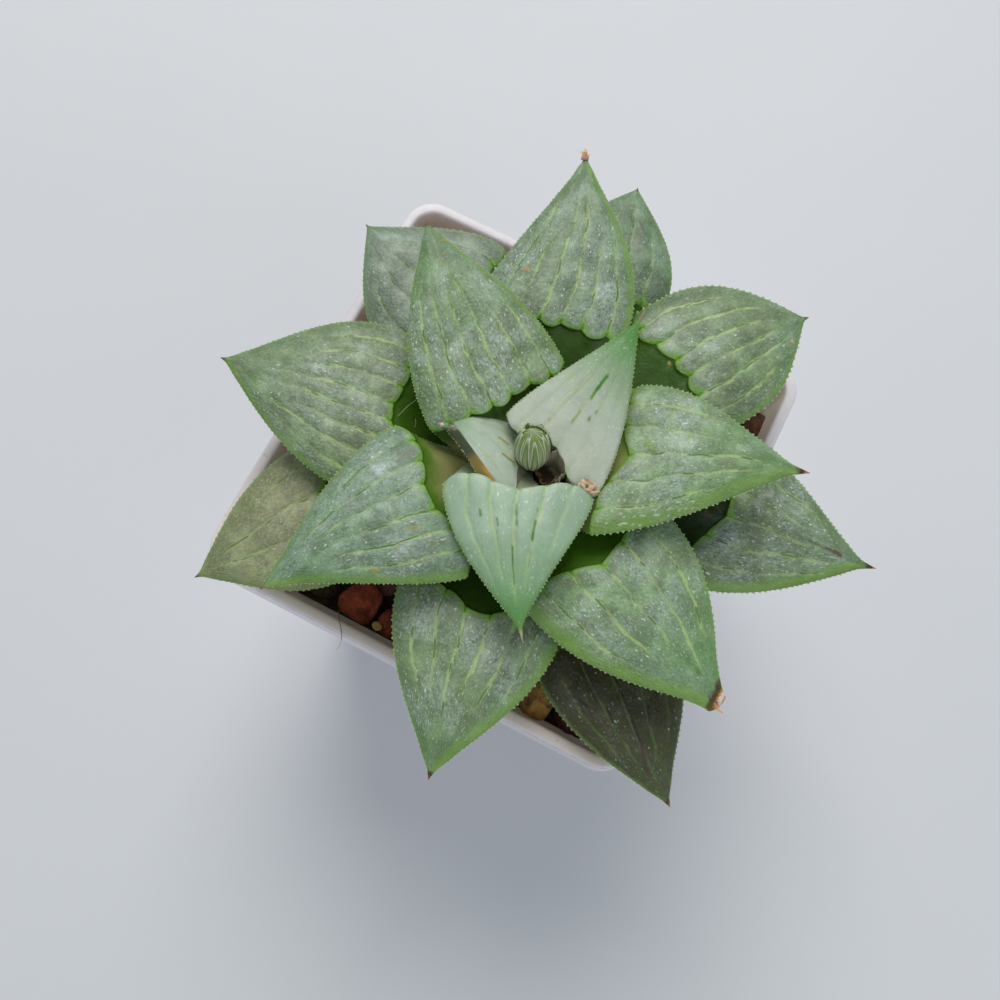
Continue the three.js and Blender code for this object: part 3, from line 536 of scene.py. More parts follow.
def make_room(leaf, points):
    """Pushes the points of a leaf outward until they clear the bud and the dry stalk."""
    bud_height = np.linalg.norm(about(*BUD_APEX) - about(*BUD_FOOT))
    rooms = [
        (about(*BUD_FOOT), about(*BUD_APEX), lambda h: bud_radius(np.clip(h / bud_height, 0, 1)) + BUD_ROOM),
        (about(*HUSK_FOOT), about(*HUSK_FOOT) + [0, 0, HUSK_HEIGHT],
         lambda h: (HUSK_RADIUS + HUSK_ROOM) * np.sqrt(np.clip((HUSK_HEIGHT + 1.6 - h) / 3.0, 0, 1))),
    ]
    for foot, apex, radius in rooms:
        axis = unit(apex - foot)
        push = unit(leaf.along - np.dot(leaf.along, axis) * axis)
        height = (points - foot) @ axis
        radial = points - foot - height[..., None] * axis
        inward = radial @ push
        room = radius(height) ** 2 - (radial**2).sum(-1)
        inside = (room > 0) & (height > -1.0)
        shift = np.where(inside, -inward + np.sqrt(np.maximum(inward**2 + room, 0)), 0)
        points = points + (shift * smooth(-1.0, 0.5, height))[..., None] * push
    return points


def swelling(leaf, s, v, lane):
    """How far the rear edge swells backwards between the veins."""
    rng = random.Random(SEEDS["lobes"] + leaf.age)
    sizes = np.array([rng.uniform(0.45, 1.15) for _ in range(24)])
    lobe = np.abs(np.sin(np.pi * lane)) ** 0.65 * sizes[np.floor(lane).astype(int) + 12]
    near_edge = np.exp(-((leaf.from_edge(s) / LOBE_REACH) ** 2))[:, None]
    return leaf.scallop * (lobe - 0.35) * near_edge * (1 - v**6)


def face_relief(leaf, points, s, v, lane, strength):
    """How far the window's surface stands out: it swells between the veins, which lie in shallow grooves."""
    t = leaf.window_share(s)[:, None]
    swell = np.abs(np.sin(np.pi * lane)) ** 0.8
    relief = SWELL_HEIGHT * (swell - 0.5) * smooth(-0.05, 0.02, t) * (1 - smooth(0.35, 0.9, t))
    from_vein = np.abs(lane - np.round(lane)) * leaf.lane_step * leaf.half_width(s)[:, None]
    relief = relief - VEIN_GROOVE * strength * np.exp(-((from_vein / VEIN_GROOVE_WIDTH) ** 2))
    rough = 0.4 if leaf.age in (1, 2) else 1.0
    relief = relief + 0.16 * lumps(points, 4.5, leaf.seed) + 0.05 * rough * lumps(points, 1.3, leaf.seed)
    return relief * (1 - np.abs(v) ** 6) * smooth(1.0, 0.9, s)[:, None]


def from_line(points, start, end):
    """Distance in plan from the line between two points."""
    start, line = np.array(start), np.array(end) - start
    share = np.clip(((points[..., :2] - start) @ line) / max(line @ line, 1e-6), 0, 1)
    return np.linalg.norm(points[..., :2] - start - share[..., None] * line, axis=-1)


def paint_marks(leaf, points, edge, on_face):
    """Colour and strength of the dry tip and of the marks on one leaf."""
    paint = np.zeros(points.shape[:-1] + (4,))

    def add(weight, colour):
        stronger = weight > paint[..., 3]
        paint[..., :3] = np.where(stronger[..., None], colour, paint[..., :3])
        paint[..., 3] = np.maximum(weight, paint[..., 3])

    to_tip = np.linalg.norm(points - leaf.tip, axis=-1)
    ragged = to_tip * (1 + 0.35 * lumps(points, 0.9, leaf.seed))
    at_spike = smooth(0.55 * leaf.dry, 0.3 * leaf.dry, ragged)[..., None]
    paint[..., :3] = np.array(srgb(*leaf.end)) * (1 - at_spike) + np.array(srgb(*leaf.spike)) * at_spike
    paint[..., 3] = 0.95 * smooth(1.25 * leaf.dry, 0.75 * leaf.dry, ragged)
    if not on_face:
        return paint
    if leaf.tan:
        below = -edge[:, None] * (1 + 0.3 * lumps(points, 2.0, leaf.seed))
        add(0.62 * smooth(leaf.tan - 1.8, leaf.tan + 1.8, below), srgb(202, 190, 132))
    if leaf.ridge:
        beyond = leaf.beyond_ridge(points)
        brown = smooth(0.0, 1.1, smooth(4.5, 7.0, to_tip) + 0.3 * lumps(points, 1.0, 3.0))
        golden = smooth(0.9, 0.2, beyond) * smooth(7.0, 8.5, to_tip)
        flecks = smooth(0.5, 0.6, lumps(points, 0.28, 5.0))
        shade = np.broadcast_to(srgb(52, 60, 22), points.shape).copy()
        for share, colour in ((brown, (138, 118, 44)), (golden, (196, 146, 44)), (flecks, (170, 156, 110))):
            shade += share[..., None] * (np.array(srgb(*colour)) - shade)
        add(0.95 * smooth(-0.06, 0.1, beyond), shade)
    for x_start, y_start, x_end, y_end, radius, colour, strength in SPOTS.get(leaf.age, []):
        distance = from_line(points, (x_start, y_start), (x_end, y_end))
        distance = distance * (1 + 0.35 * lumps(points, 0.5, leaf.seed))
        add(strength * smooth(radius * 1.25, 0.6 * radius, distance), srgb(*colour))
    return paint


def strand(path, widths, thickness, colours=((0, 0, 0), (0, 0, 0)), sides=6):
    """A thin strip or thread along a path: its points, faces and colours."""
    def spread(values):
        return np.interp(steps, np.linspace(0, 1, len(values)), values)

    steps = np.linspace(0, 1, 5 * (len(path) - 1) + 1)
    path = np.stack([spread(c) for c in np.transpose(path)], -1)
    for _ in range(3):
        path[1:-1] = (path[:-2] + 2 * path[1:-1] + path[2:]) / 4
    widths = spread(widths)
    colours = np.stack([spread(c) for c in np.transpose(colours)], -1)
    points, tints = [], []
    for k, place in enumerate(path):
        forward = unit(path[min(k + 1, len(path) - 1)] - path[max(k - 1, 0)])
        side = unit(np.cross(forward, [0.1, 0.2, 1.0]))
        top = np.cross(side, forward)
        for angle in circle(sides):
            depth = min(thickness, widths[k])
            points.append(place + side * widths[k] * math.cos(angle) + top * depth * math.sin(angle))
            tints.append((*colours[k], DRY_PAINT))
    return points, flipped(closed_tube(len(path), sides)), tints


def scrap(middle, along, across, seed):
    """A crumpled scrap of dry skin: a thin wrinkled shell."""
    line = np.linspace(-1, 1, 15)
    u, v = np.meshgrid(line, line, indexing="ij")
    rim = 1 + 0.25 * lumps(np.stack([u * 2, v * 2, np.full_like(u, seed)], -1), 0.7)
    round_u, round_v = u * np.sqrt(1 - v * v / 2) * rim, v * np.sqrt(1 - u * u / 2) * rim
    flat = np.array(middle) + round_u[..., None] * np.array(along) + round_v[..., None] * np.array(across)
    crease = lumps(flat, 0.55, seed)
    flat[..., 2] += 0.55 * crease + 0.25 * lumps(flat, 0.25, seed)
    points, faces = closed_sheet(flat, flat - [0, 0, 0.09])
    light, dark = np.array(srgb(236, 212, 172)), np.array(srgb(176, 122, 72))
    share = smooth(-0.45, 0.3, crease)[..., None]
    tints = np.concatenate([dark + share * (light - dark), np.full_like(share, DRY_PAINT)], -1).reshape(-1, 4)
    return points, flipped(faces), np.vstack([tints, tints])


def leaf_extras(leaf):
    """Dry scraps, curled tip strips and stray fibres on single leaves: points, faces and colours of each."""
    beige, orange, brown = srgb(232, 196, 156), srgb(206, 140, 92), srgb(96, 52, 28)
    curled = [0.4, 0.36, 0.24, 0.08], 0.09, [brown, orange, beige, beige]
    narrow = [0.4, 0.34, 0.22, 0.08], 0.09, [brown, orange, beige, orange]
    pointed = [0.34, 0.24, 0.06], 0.08, [brown, orange, beige]
    stump = [0.42, 0.34, 0.22, 0.06], 0.2, [brown, orange, beige, beige]
    bead = [0.16, 0.34, 0.34, 0.12], 0.3, [srgb(206, 180, 164)] * 2
    fibre = [0.05, 0.05, 0.03], 0.05, [srgb(178, 190, 148)] * 2, 5
    short_fibre = [0.05, 0.04, 0.03], *fibre[1:]

    # Paths from the tip: along the leaf, across it and upward
    at_tip = {
        0: [([(-0.35, 0, 0), (0, 0, 0), (0.3, 0, 0)], bead)],
        6: [([(-0.9, 0.2, 0), (0, 0.2, 0), (0.4, 0.6, 0.2), (0.2, 0.9, 0.2)], curled),
            ([(-0.9, 0, 0), (0, 0, 0), (0.5, 0.1, 0.3), (0.9, 0.3, 0.2)], narrow),
            ([(-0.9, -0.2, 0), (0, -0.3, 0), (0.1, -0.6, 0.1)], pointed)],
    }
    in_part = {
        7: [([(40.0, -21.2, 78.0), (40.5, -21.7, 78.2), (41.0, -21.85, 78.3), (41.5, -22.0, 78.1)], stump)],
        8: [([(-16.1, -5.2, 77.35), (-15.7, -4.0, 77.8), (-15.2, -3.0, 78.3), (-14.6, -2.3, 79.0)], fibre),
            ([(-12.95, -5.9, 78.6), (-12.95, -5.5, 79.1), (-13.3, -5.0, 79.3)], short_fibre)],
    }
    scraps = {
        2: [((12.7, -4.35, 84.75), (1.35, -0.25, -0.05), (0.1, 0.75, 0.1), 4.0),
            ((11.7, -4.5, 84.75), (0.55, 0.1, 0.1), (-0.1, 0.5, 0.0), 9.0)],
    }
    axes = np.array([unit(leaf.along * [1, 1, 0]), leaf.across, [0, 0, 1]])
    extras = [strand(leaf.tip + np.array(path) @ axes, *kind) for path, kind in at_tip.get(leaf.age, [])]
    extras += [strand(path, *kind) for path, kind in in_part.get(leaf.age, [])]
    return extras + [scrap(*form) for form in scraps.get(leaf.age, [])]


def add_teeth(leaf, first):
    """Points and faces of the teeth along both margins, and for each its place along the leaf."""
    rng = random.Random(SEEDS["teeth"] + leaf.age)
    points, faces, places = [], [], []
    at = np.linspace(*TOOTHED, 500)
    for sign in (-1, 1):
        edge = leaf.margin(at) + leaf.sideways(at) * (sign * leaf.half_width(at))[:, None]
        edge = edge - leaf.fold(edge)[:, None] * leaf.up
        travelled = np.concatenate([[0], np.cumsum(np.linalg.norm(np.diff(edge, axis=0), axis=1))])
        where = rng.uniform(0.2, 0.8)
        while where < travelled[-1]:
            k = min(max(int(np.searchsorted(travelled, where)), 1), len(at) - 2)
            forward = unit(edge[k + 1] - edge[k - 1])
            out = leaf.sideways(at[k:k + 1])[0] * sign
            out = unit(out - np.dot(out, forward) * forward)
            size = rng.uniform(0.6, 1.2) * float(smooth(1.02, 0.85, at[k]))
            height = leaf.teeth * max(size, 0.15)
            base = edge[k] - TOOTH_SINK * out
            lean = rng.uniform(-0.05, 0.2) * forward + rng.uniform(-0.05, 0.08) * leaf.up
            apex = base + (height + TOOTH_SINK) * out + lean
            long_side, short_side = (0.1 + 0.34 * leaf.gap) * forward, (0.07 + 0.2 * height) * leaf.up
            start = first + len(points)
            points += [base - long_side, base + short_side, base + long_side, base - short_side, apex]
            sides = [[start + a, start + (a + 1) % 4, start + 4] for a in range(4)]
            sides.append([start + 3, start + 2, start + 1, start])
            faces += flipped(sides) if sign > 0 else sides
            places.append(at[k])
            where += leaf.gap * rng.uniform(0.75, 1.3)
    return points, faces, np.array(places)


def leaf_points_and_faces(leaf, face, keel):
    """The body's points, from the grids above and below, and its faces, closed at the seat and at the tip."""
    rows, columns = face.shape[:2]
    index = np.arange(rows * columns).reshape(rows, columns)
    under = rows * columns + np.arange(rows * keel.shape[1]).reshape(rows, -1)
    under = np.hstack([index[:, :1], under, index[:, -1:]])
    quads = np.stack([under[:-1, :-1], under[:-1, 1:], under[1:, 1:], under[1:, :-1]], -1).reshape(-1, 4)
    tip = rows * (columns + keel.shape[1])
    faces = grid_faces(rows, columns) + quads.tolist()
    faces += [[int(a), tip, int(b)] for a, b in zip(index[-1, :-1], index[-1, 1:])]
    faces += [[int(b), tip, int(a)] for a, b in zip(under[-1, :-1], under[-1, 1:])]
    faces.append([int(k) for k in index[0]] + [int(k) for k in under[0, -2:0:-1]])
    return np.vstack([face.reshape(-1, 3), keel.reshape(-1, 3), leaf.tip[None]]), faces


def leaf_coordinates(leaf, s, v, side, lane=0.5, strength=0.0):
    """What the material needs at each point.

    place: share along the window, distance from the margin, side (1 above, 0 below). veins: lane, its width,
    strength of the vein. grain: across, along and the leaf. band: width of the plain margin.
    """
    shape = (len(s), len(v))
    half = leaf.half_width(s)[:, None]
    edge = leaf.from_edge(s)[:, None]
    share = smooth(-0.3, 0.3, v)
    parts = [
        (leaf.window_share(s)[:, None], (1 - np.abs(v))[None] * half, side),
        (lane, leaf.lane_step * half, strength),
        (v[None] * (0.5 * half + 0.2 * leaf.width), edge, 7.0 * leaf.age),
        (leaf.bands[0] * (1 - share) + leaf.bands[1] * share, 0, 0),
    ]
    return [np.stack([np.broadcast_to(x, shape) for x in part], -1).reshape(-1, 3) for part in parts]


def leaf_piece(leaf):
    s = ROWS
    face_v = np.sin(np.pi / 2 * np.linspace(-1, 1, FACE_COLUMNS))
    keel_v = np.sin(np.pi / 2 * np.linspace(-1, 1, KEEL_COLUMNS))[1:-1]
    face = leaf.surface(s, face_v, "face")
    keel = leaf.surface(s, keel_v, "keel")
    lane, strength = leaf.lanes(face, s, face_v)
    face = face - swelling(leaf, s, face_v, lane)[..., None] * leaf.along
    face = face + grid_normals(face) * face_relief(leaf, face, s, face_v, lane, strength)[..., None]
    keel_relief = 0.12 * lumps(keel, 5.0, leaf.seed) * (1 - np.abs(keel_v) ** 4)
    keel_relief = keel_relief * smooth(1.0, 0.9, s)[:, None]
    keel = keel - grid_normals(keel) * keel_relief[..., None]
    if leaf.age < YOUNG:
        face = make_room(leaf, face)

    points, faces = leaf_points_and_faces(leaf, face, keel)
    teeth_points, teeth_faces, teeth_at = add_teeth(leaf, len(points))
    faces += teeth_faces
    points = np.vstack([points, teeth_points])
    extra_paint = []
    for more, more_faces, tints in leaf_extras(leaf):
        faces += [[len(points) + k for k in corners] for corners in more_faces]
        points = np.vstack([points, more])
        extra_paint += [tuple(tint) for tint in tints]

    middle, margin = np.zeros(1), np.ones(1)
    sets = [
        leaf_coordinates(leaf, s, face_v, 1.0, lane, strength),
        leaf_coordinates(leaf, s, keel_v, 0.0),
        leaf_coordinates(leaf, np.ones(1), middle, 0.5),
        leaf_coordinates(leaf, np.repeat(teeth_at, 5), margin, 0.6),
        leaf_coordinates(leaf, np.full(len(extra_paint), 0.7), middle, 1.0),
    ]
    place, veins, grain, band = [np.vstack(parts) for parts in zip(*sets)]
    tooth_paint = [[*srgb(150, 182, 116), 0.2]] * 4 + [[*srgb(190, 206, 164), 0.7]]
    paint = np.vstack([
        paint_marks(leaf, face, leaf.from_edge(s), True).reshape(-1, 4),
        paint_marks(leaf, keel, leaf.from_edge(s), False).reshape(-1, 4),
        [[*srgb(*leaf.spike), 0.95]],
        np.array(tooth_paint * len(teeth_at) + extra_paint),
    ])
    # Painted sheen: whitish patches that stand for light reflected off the skin
    sheen = np.zeros(len(points))
    for centre, radius, weight in SHEEN_PATCHES.get(leaf.age, []):
        away = np.linalg.norm(points[:, :2] - centre, axis=1) / radius
        sheen = np.maximum(sheen, weight * np.exp(-(away**2)))

    piece = make_object(f"leaf_{leaf.age + 1:02d}_body", points, faces, 50)
    same = np.ones((len(points), 1))
    attributes = {
        "place": place,
        "veins": veins,
        "grain": grain,
        "look": np.hstack([band[:, :1], same * leaf.frost, same * leaf.green]),
        "trait": same * [leaf.vein, leaf.dark, leaf.brown],
        "base": same * [*srgb(*leaf.base), 1.0 if leaf.age < YOUNG else 0.0],
        "paint": paint,
        "sheen": sheen,
    }
    for name, values in attributes.items():
        set_attribute(piece, name, values)
    return piece


# Materials
class Value:
    """A node's output. Arithmetic with it adds nodes."""

    def __init__(self, shader, socket):
        self.shader, self.socket = shader, socket

    def operator(operation, swapped=False):
        def combine(self, other):
            return self.shader.math(operation, *((other, self) if swapped else (self, other)))
        return combine

    __add__, __radd__ = operator("ADD"), operator("ADD", True)
    __sub__, __rsub__ = operator("SUBTRACT"), operator("SUBTRACT", True)
    __mul__, __truediv__ = operator("MULTIPLY"), operator("DIVIDE")

    def __abs__(self):
        return self.shader.math("ABSOLUTE", self)


class Shader:
    """A node material. Each method adds a node and gives back its output."""

    def __init__(self, name):
        self.material = bpy.data.materials.new(name)
        self.material.use_nodes = True
        self.tree = self.material.node_tree
        self.surface = self.tree.nodes["Principled BSDF"]

    def feed(self, socket, value):
        """Three numbers for a colour socket are a colour from 0 to 255."""
        if isinstance(value, Value):
            self.tree.links.new(value.socket, socket)
        elif isinstance(value, tuple) and len(value) == 3 and socket.type == "RGBA":
            socket.default_value = (*srgb(*value), 1)
        else:
            socket.default_value = value

    def add(self, kind, settings, inputs, output=0):
        node = self.tree.nodes.new(kind)
        for key, value in settings.items():
            setattr(node, key, value)
        for key, value in inputs.items():
            self.feed(node.inputs[key], value)
        return Value(self, node.outputs[output])

    def set(self, **values):
        for key, value in values.items():
            self.feed(self.surface.inputs[key.replace("_", " ")], value)

    def math(self, operation, *values):
        return self.add("ShaderNodeMath", {"operation": operation}, dict(enumerate(values)))

    def larger(self, a, b):
        return self.math("MAXIMUM", a, b)

    def vector(self, operation, a, b):
        return self.add("ShaderNodeVectorMath", {"operation": operation}, {0: a, 1: b})

    def stretch(self, vector, *factors):
        return self.vector("MULTIPLY", vector, factors)

    def step(self, value, low, high, to_low=0.0, to_high=1.0):
        settings = {"interpolation_type": "SMOOTHSTEP"}
        return self.add("ShaderNodeMapRange", settings, {0: value, 1: low, 2: high, 3: to_low, 4: to_high})

    def scale(self, colour, factor):
        return self.add("ShaderNodeVectorMath", {"operation": "SCALE"}, {0: colour, 3: factor})

    def mix(self, share, a, b):
        settings = {"data_type": "RGBA", "blend_type": "MIX"}
        return self.add("ShaderNodeMix", settings, {0: share, 6: a, 7: b}, 2)

    def coats(self, colour, *coats):
        """Lays coats over a colour, each given by its share and its own colour."""
        for share, coat in coats:
            colour = self.mix(share, colour, coat)
        return colour

    def attribute(self, name, output="Vector"):
        return self.add("ShaderNodeAttribute", {"attribute_name": name}, {}, output)

    def split(self, vector):
        node = self.tree.nodes.new("ShaderNodeSeparateXYZ")
        self.feed(node.inputs[0], vector)
        return [Value(self, output) for output in node.outputs]

    def here(self):
        """The place on the object, in millimetres."""
        return self.stretch(self.add("ShaderNodeTexCoord", {}, {}, "Object"), 1000.0, 1000.0, 1000.0)

    def noise(self, vector, scale, detail=2.0, roughness=0.5):
        inputs = {"Vector": vector, "Scale": scale, "Detail": detail, "Roughness": roughness}
        return self.add("ShaderNodeTexNoise", {}, inputs)

    def blur(self, value, noise, width):
        """Makes a distance ragged by a noise."""
        return value + (noise - 0.5) * width

    def cells(self, vector, scale, output="Distance"):
        return self.add("ShaderNodeTexVoronoi", {}, {"Vector": vector, "Scale": scale}, output)

    def glow(self, weight, scale, red, green, blue):
        """Light under the surface, uniform all over it."""
        self.set(Subsurface_Weight=weight, Subsurface_Scale=scale)
        self.surface.inputs["Subsurface Radius"].default_value = (red, green, blue)

    def relief(self, height, strength, distance_mm):
        inputs = {"Height": height, "Strength": strength, "Distance": distance_mm * MM}
        self.set(Normal=self.add("ShaderNodeBump", {}, inputs))


# White flecks under the skin: size of the cells, distances from a fleck's middle, share and how many show
FLECKS = ((2.0, 0.3, 0.2, 1.0, 0.3), (3.2, 0.34, 0.2, 0.9, 0.42), (4.9, 0.42, 0.2, 0.5, 0.8))


def leaf_material():
    m = Shader("leaf_skin")
    along, inward, side = m.split(m.attribute("place"))
    lane, lane_width, vein_strength = m.split(m.attribute("veins"))
    grain, here = m.attribute("grain"), m.here()
    edge = m.split(grain)[1]
    band_width, frost, greening = m.split(m.attribute("look"))
    contrast, painted_rear_shade, brown = m.split(m.attribute("trait"))
    base, pale = m.attribute("base", "Color"), m.attribute("base", "Alpha")
    sheen = m.attribute("sheen", "Fac")
    strokes = m.stretch(grain, 1.0, 0.66, 1.0)
    grown = 1.0 - pale

    # The window: grey-green depths, brownish clouds, greener near the margins, patches of painted sheen
    young = 1.0 - pale * 0.86
    clouds = m.noise(grain, 0.32, 4.0, 0.65)
    leather = m.noise(strokes, 2.9, 5.0, 0.75)
    papillae = m.cells(strokes, 3.0)
    rough_patch = m.step(m.noise(grain, 0.26, 3.0, 0.6), 0.36, 0.6, 0.35, 1.0) * young
    rim = m.step(inward + clouds * 2.0, 4.6, 1.2, 0.0, 0.5)
    umber = m.step(m.noise(grain, 0.21, 3.0, 0.6), 0.46, 0.68) * 0.3
    stain = brown * m.step(m.noise(here, 0.17, 4.0, 0.6), 0.34, 0.6)
    # Painted sheen: whitish patches for soft reflections of light on the skin
    painted_sheen = m.step(m.noise(grain, 0.17, 4.0, 0.6), 0.44, 0.62) * frost
    painted_sheen = m.larger(painted_sheen, sheen * 1.7) * m.step(m.noise(strokes, 1.5, 5.0, 0.75), 0.36, 0.6)
    window = m.coats(
        base,
        (young, m.scale(base, m.step(clouds, 0.34, 0.66, 0.74, 1.5))),
        (rim * young, m.mix(0.5, m.scale(base, 0.8), (96, 140, 66))),
        (umber * grown, (132, 120, 100)),
        (stain * 0.8, m.scale(base, 0.8)),
        (stain * 0.35, (104, 92, 58)),
        (painted_sheen * 0.62, (196, 212, 206)),
        (m.step(leather, 0.52, 0.38, 0.0, 0.5) * rough_patch, m.scale(base, 0.5)),
        (m.step(leather, 0.52, 0.66, 0.0, 0.5) * rough_patch, m.scale(base, 1.8)),
        (m.step(papillae, 0.3, 0.62, 0.0, 0.28) * rough_patch, m.scale(base, 0.6)),
    )

    # Green before the tip and in a plain band along the margins
    green = m.mix(m.noise(here, 0.5), (110, 156, 48), (142, 178, 80))
    band = m.step(m.blur(inward, m.noise(grain, 0.6, 3.0), 0.9) / band_width, 1.5, 0.35)
    window = m.coats(
        window,
        (m.step(along, 0.2, 1.0) * greening, (92, 150, 70)),
        (m.step(along, 0.62, 0.92) * (pale * 0.5), (70, 140, 44)),
        (band * m.step(band_width, 0.3, 1.2, 0.4, 0.8), green),
    )

    # White flecks under the skin, thicker in patches and where sheen is painted
    thickness = m.step(m.noise(grain, 0.17, 2.0), 0.35, 0.65, 0.35, 1.0) * frost + sheen * 0.6
    flecks = 0.0
    thin = m.stretch(grain, 1.0, 0.55, 1.0)
    for scale, low, high, share, dense in FLECKS:
        bend = m.add("ShaderNodeTexNoise", {}, {"Vector": thin, "Scale": 2.0, "Detail": 2.0}, 1)
        bent = m.vector("ADD", thin, m.scale(bend, 0.5))
        dots = m.step(m.cells(bent, scale), low, high, 0.0, share)
        chosen = m.step(m.split(m.cells(bent, scale, "Color"))[0] + thickness * dense, 0.9, 1.1)
        flecks = m.larger(dots * chosen, flecks)
    flecks = flecks * (1.0 - band * 0.8) * m.step(edge, 0.2, 1.0)

    # Veins: light lines with ragged edges and dark stretches in them
    from_vein = abs(m.math("FRACT", lane + 100.5) - 0.5) * lane_width
    ragged_vein = m.blur(from_vein, m.noise(here, 3.5, 3.0, 0.7), 0.3)
    beads = m.step(m.noise(grain, 0.85, 2.0), 0.3, 0.7, 0.06, 0.24)
    presence = m.step(m.noise(grain, 0.22, 2.0), 0.34, 0.6, 0.35, 1.0) * vein_strength
    presence = presence * m.step(m.noise(here, 2.2, 3.0, 0.7), 0.3, 0.52, 0.45, 1.0) * contrast
    vein = m.step(ragged_vein - beads, 0.14, -0.04) * presence
    dashes = m.step(m.noise(m.stretch(grain, 0.9, 0.3, 1.0), 1.0, 1.0), 0.53, 0.58)
    core = m.step(from_vein, 0.2, 0.07) * (dashes * vein_strength) * grown

    # The shoulder edge is outlined in yellow-green, most in the notches at the veins: painted glow of light
    # shining through the thin edge. The steep face below it is deep green, or whitish on the youngest leaves.
    notch = m.step(from_vein, 1.3, 0.15)
    ragged_edge = m.blur(edge, m.noise(here, 1.4, 3.0), 0.9)
    outline = m.step(ragged_edge / (0.5 + notch * 0.9), 1.0, 0.2) * m.step(notch, 0.0, 1.0, 0.5, 0.85)
    cleft = m.step(from_vein, 0.3, 0.08) * m.step(ragged_edge, 0.9, 0.1, 0.0, 0.75)
    # The rear face's deep green carries painted shade, scaled by the leaf's dark value: darker on leaves that
    # lie in shadow, lighter where light is painted.
    deep = m.scale(m.mix(m.noise(here, 0.3, 3.0), (44, 88, 6), (98, 144, 22)), 1.05 - painted_rear_shade * 0.85)
    deep = m.mix(pale, deep, m.mix(m.noise(here, 0.4, 3.0), (176, 172, 138), base))
    window = m.coats(
        window,
        (flecks * 0.84, (220, 230, 212)),
        (m.step(from_vein, 0.9, 0.1, 0.0, 0.2) * presence, (136, 166, 104)),
        (vein * 0.84, (184, 208, 132)),
        (core * 0.8, (70, 116, 38)),
        (outline * (1.0 - pale * 0.75), (126, 178, 44)),
        (cleft * grown, (66, 118, 22)),
        (m.step(ragged_edge, -0.25, -0.75), deep),
    )
    under = m.coats(
        m.mix(m.noise(here, 0.3, 3.0), (92, 134, 64), (126, 162, 90)),
        (m.step(m.cells(strokes, 1.6), 0.3, 0.15, 0.0, 0.5), (176, 200, 150)),
        (pale * 0.6, base),
    )
    colour = m.mix(m.step(side, 0.1, 0.9), under, window)
    colour = m.mix(m.attribute("paint", "Alpha"), colour, m.attribute("paint", "Color"))

    rough = m.step(leather, 0.3, 0.75, 0.42, 0.3) - flecks * 0.06
    m.set(Base_Color=colour, Roughness=rough, IOR=1.42, Coat_Weight=0.3, Coat_Roughness=0.3)
    m.glow(0.2, 0.0014, 0.7, 1.0, 0.4)
    height = flecks * 0.6 + (leather + m.noise(here, 2.2, 3.0)) - papillae * 0.5
    m.relief(height * m.step(edge, -1.2, 0.0, 0.35, 1.0) * rough_patch, 0.85, 0.2)
    return m.material


# Stem: radius and height above the rim
STEM_OUTLINE = [(3.2, ROOT_TIP), (5.4, -11), (5.2, -5), (4.2, 4), (3.2, 10), (2.2, 13.9), (1.4, 14.5)]
STEM_SIDES = 72
STEM_ROWS = 150
SCAR_SPACING = 1.3
SCAR_DEPTH = 0.16


def stem_piece():
    """The short stem: ringed by the scars of old leaves, wrinkled, with a rounded crown."""
    radii, heights = np.transpose(STEM_OUTLINE)
    height = np.linspace(heights[0], heights[-1], STEM_ROWS)[:, None]
    angles = circle(STEM_SIDES)
    scar = (height + 0.25 * np.sin(2 * angles + height)) / SCAR_SPACING
    ledge = SCAR_DEPTH * (scar - np.floor(scar)) - SCAR_DEPTH
    radius = np.interp(height, heights, radii) + ledge * smooth(14.0, 11.0, height)
    out = np.stack([np.cos(angles), np.sin(angles), np.zeros(STEM_SIDES)], -1)
    middle = np.array([*AXIS, POT_HEIGHT])
    grid = middle + radius[..., None] * out + height[..., None] * [0, 0, 1]
    grid = grid + out * (0.07 * lumps(grid * [1, 1, 0.35], 0.7) - 0.07)[..., None]
    return make_object("stem_body", grid.reshape(-1, 3), closed_tube(STEM_ROWS, STEM_SIDES), 50)


def stem_material():
    m = Shader("stem_skin")
    here = m.here()
    fresh = m.mix(m.noise(here, 0.4, 3.0), (150, 150, 96), (190, 186, 138))
    old = m.mix(m.noise(here, 0.9, 4.0, 0.7), (84, 60, 40), (150, 118, 78))
    base = m.mix(m.step(m.split(here)[2] + m.noise(here, 0.6, 3.0) * 6.0, 76.0, 68.0), fresh, old)
    base = m.mix(m.step(m.noise(here, 1.6, 3.0), 0.56, 0.7), base, (70, 50, 34))
    m.set(Base_Color=base, Roughness=0.75)
    m.relief(m.noise(here, 2.0, 4.0), 0.6, 0.2)
    return m.material


# Pot
def rounded_square(half, radius, z):
    """One section of the pot: a loop at height z around a square with rounded corners."""
    loop = []
    for corner in range(4):
        middle = (corner + 0.5) * math.pi / 2
        side_x, side_y = math.copysign(1, math.cos(middle)), math.copysign(1, math.sin(middle))
        for step in range(CORNER_STEPS + 1):
            angle = (corner + step / CORNER_STEPS) * math.pi / 2
            x = side_x * (half - radius) + radius * math.cos(angle)
            loop.append((x, side_y * (half - radius) + radius * math.sin(angle), z))
    return loop


def wall_half(z):
    return POT_BASE_WIDTH / 2 + (POT_WIDTH / 2 - LIP_PROUD - POT_BASE_WIDTH / 2) * z / POT_HEIGHT


INNER_TOP = POT_WIDTH / 2 - RIM_WIDTH
INNER_BOTTOM = wall_half(POT_FLOOR) - POT_WALL


def inner_half(z):
    return INNER_BOTTOM + (INNER_TOP - INNER_BOTTOM) * (z - POT_FLOOR) / (POT_HEIGHT - POT_FLOOR)


def corner_radius(z):
    return BASE_CORNER + (RIM_CORNER - BASE_CORNER) * z / POT_HEIGHT


def extruded(outline, low, high):
    return [(*p, z) for z in (low, high) for p in outline], closed_tube(2, len(outline))


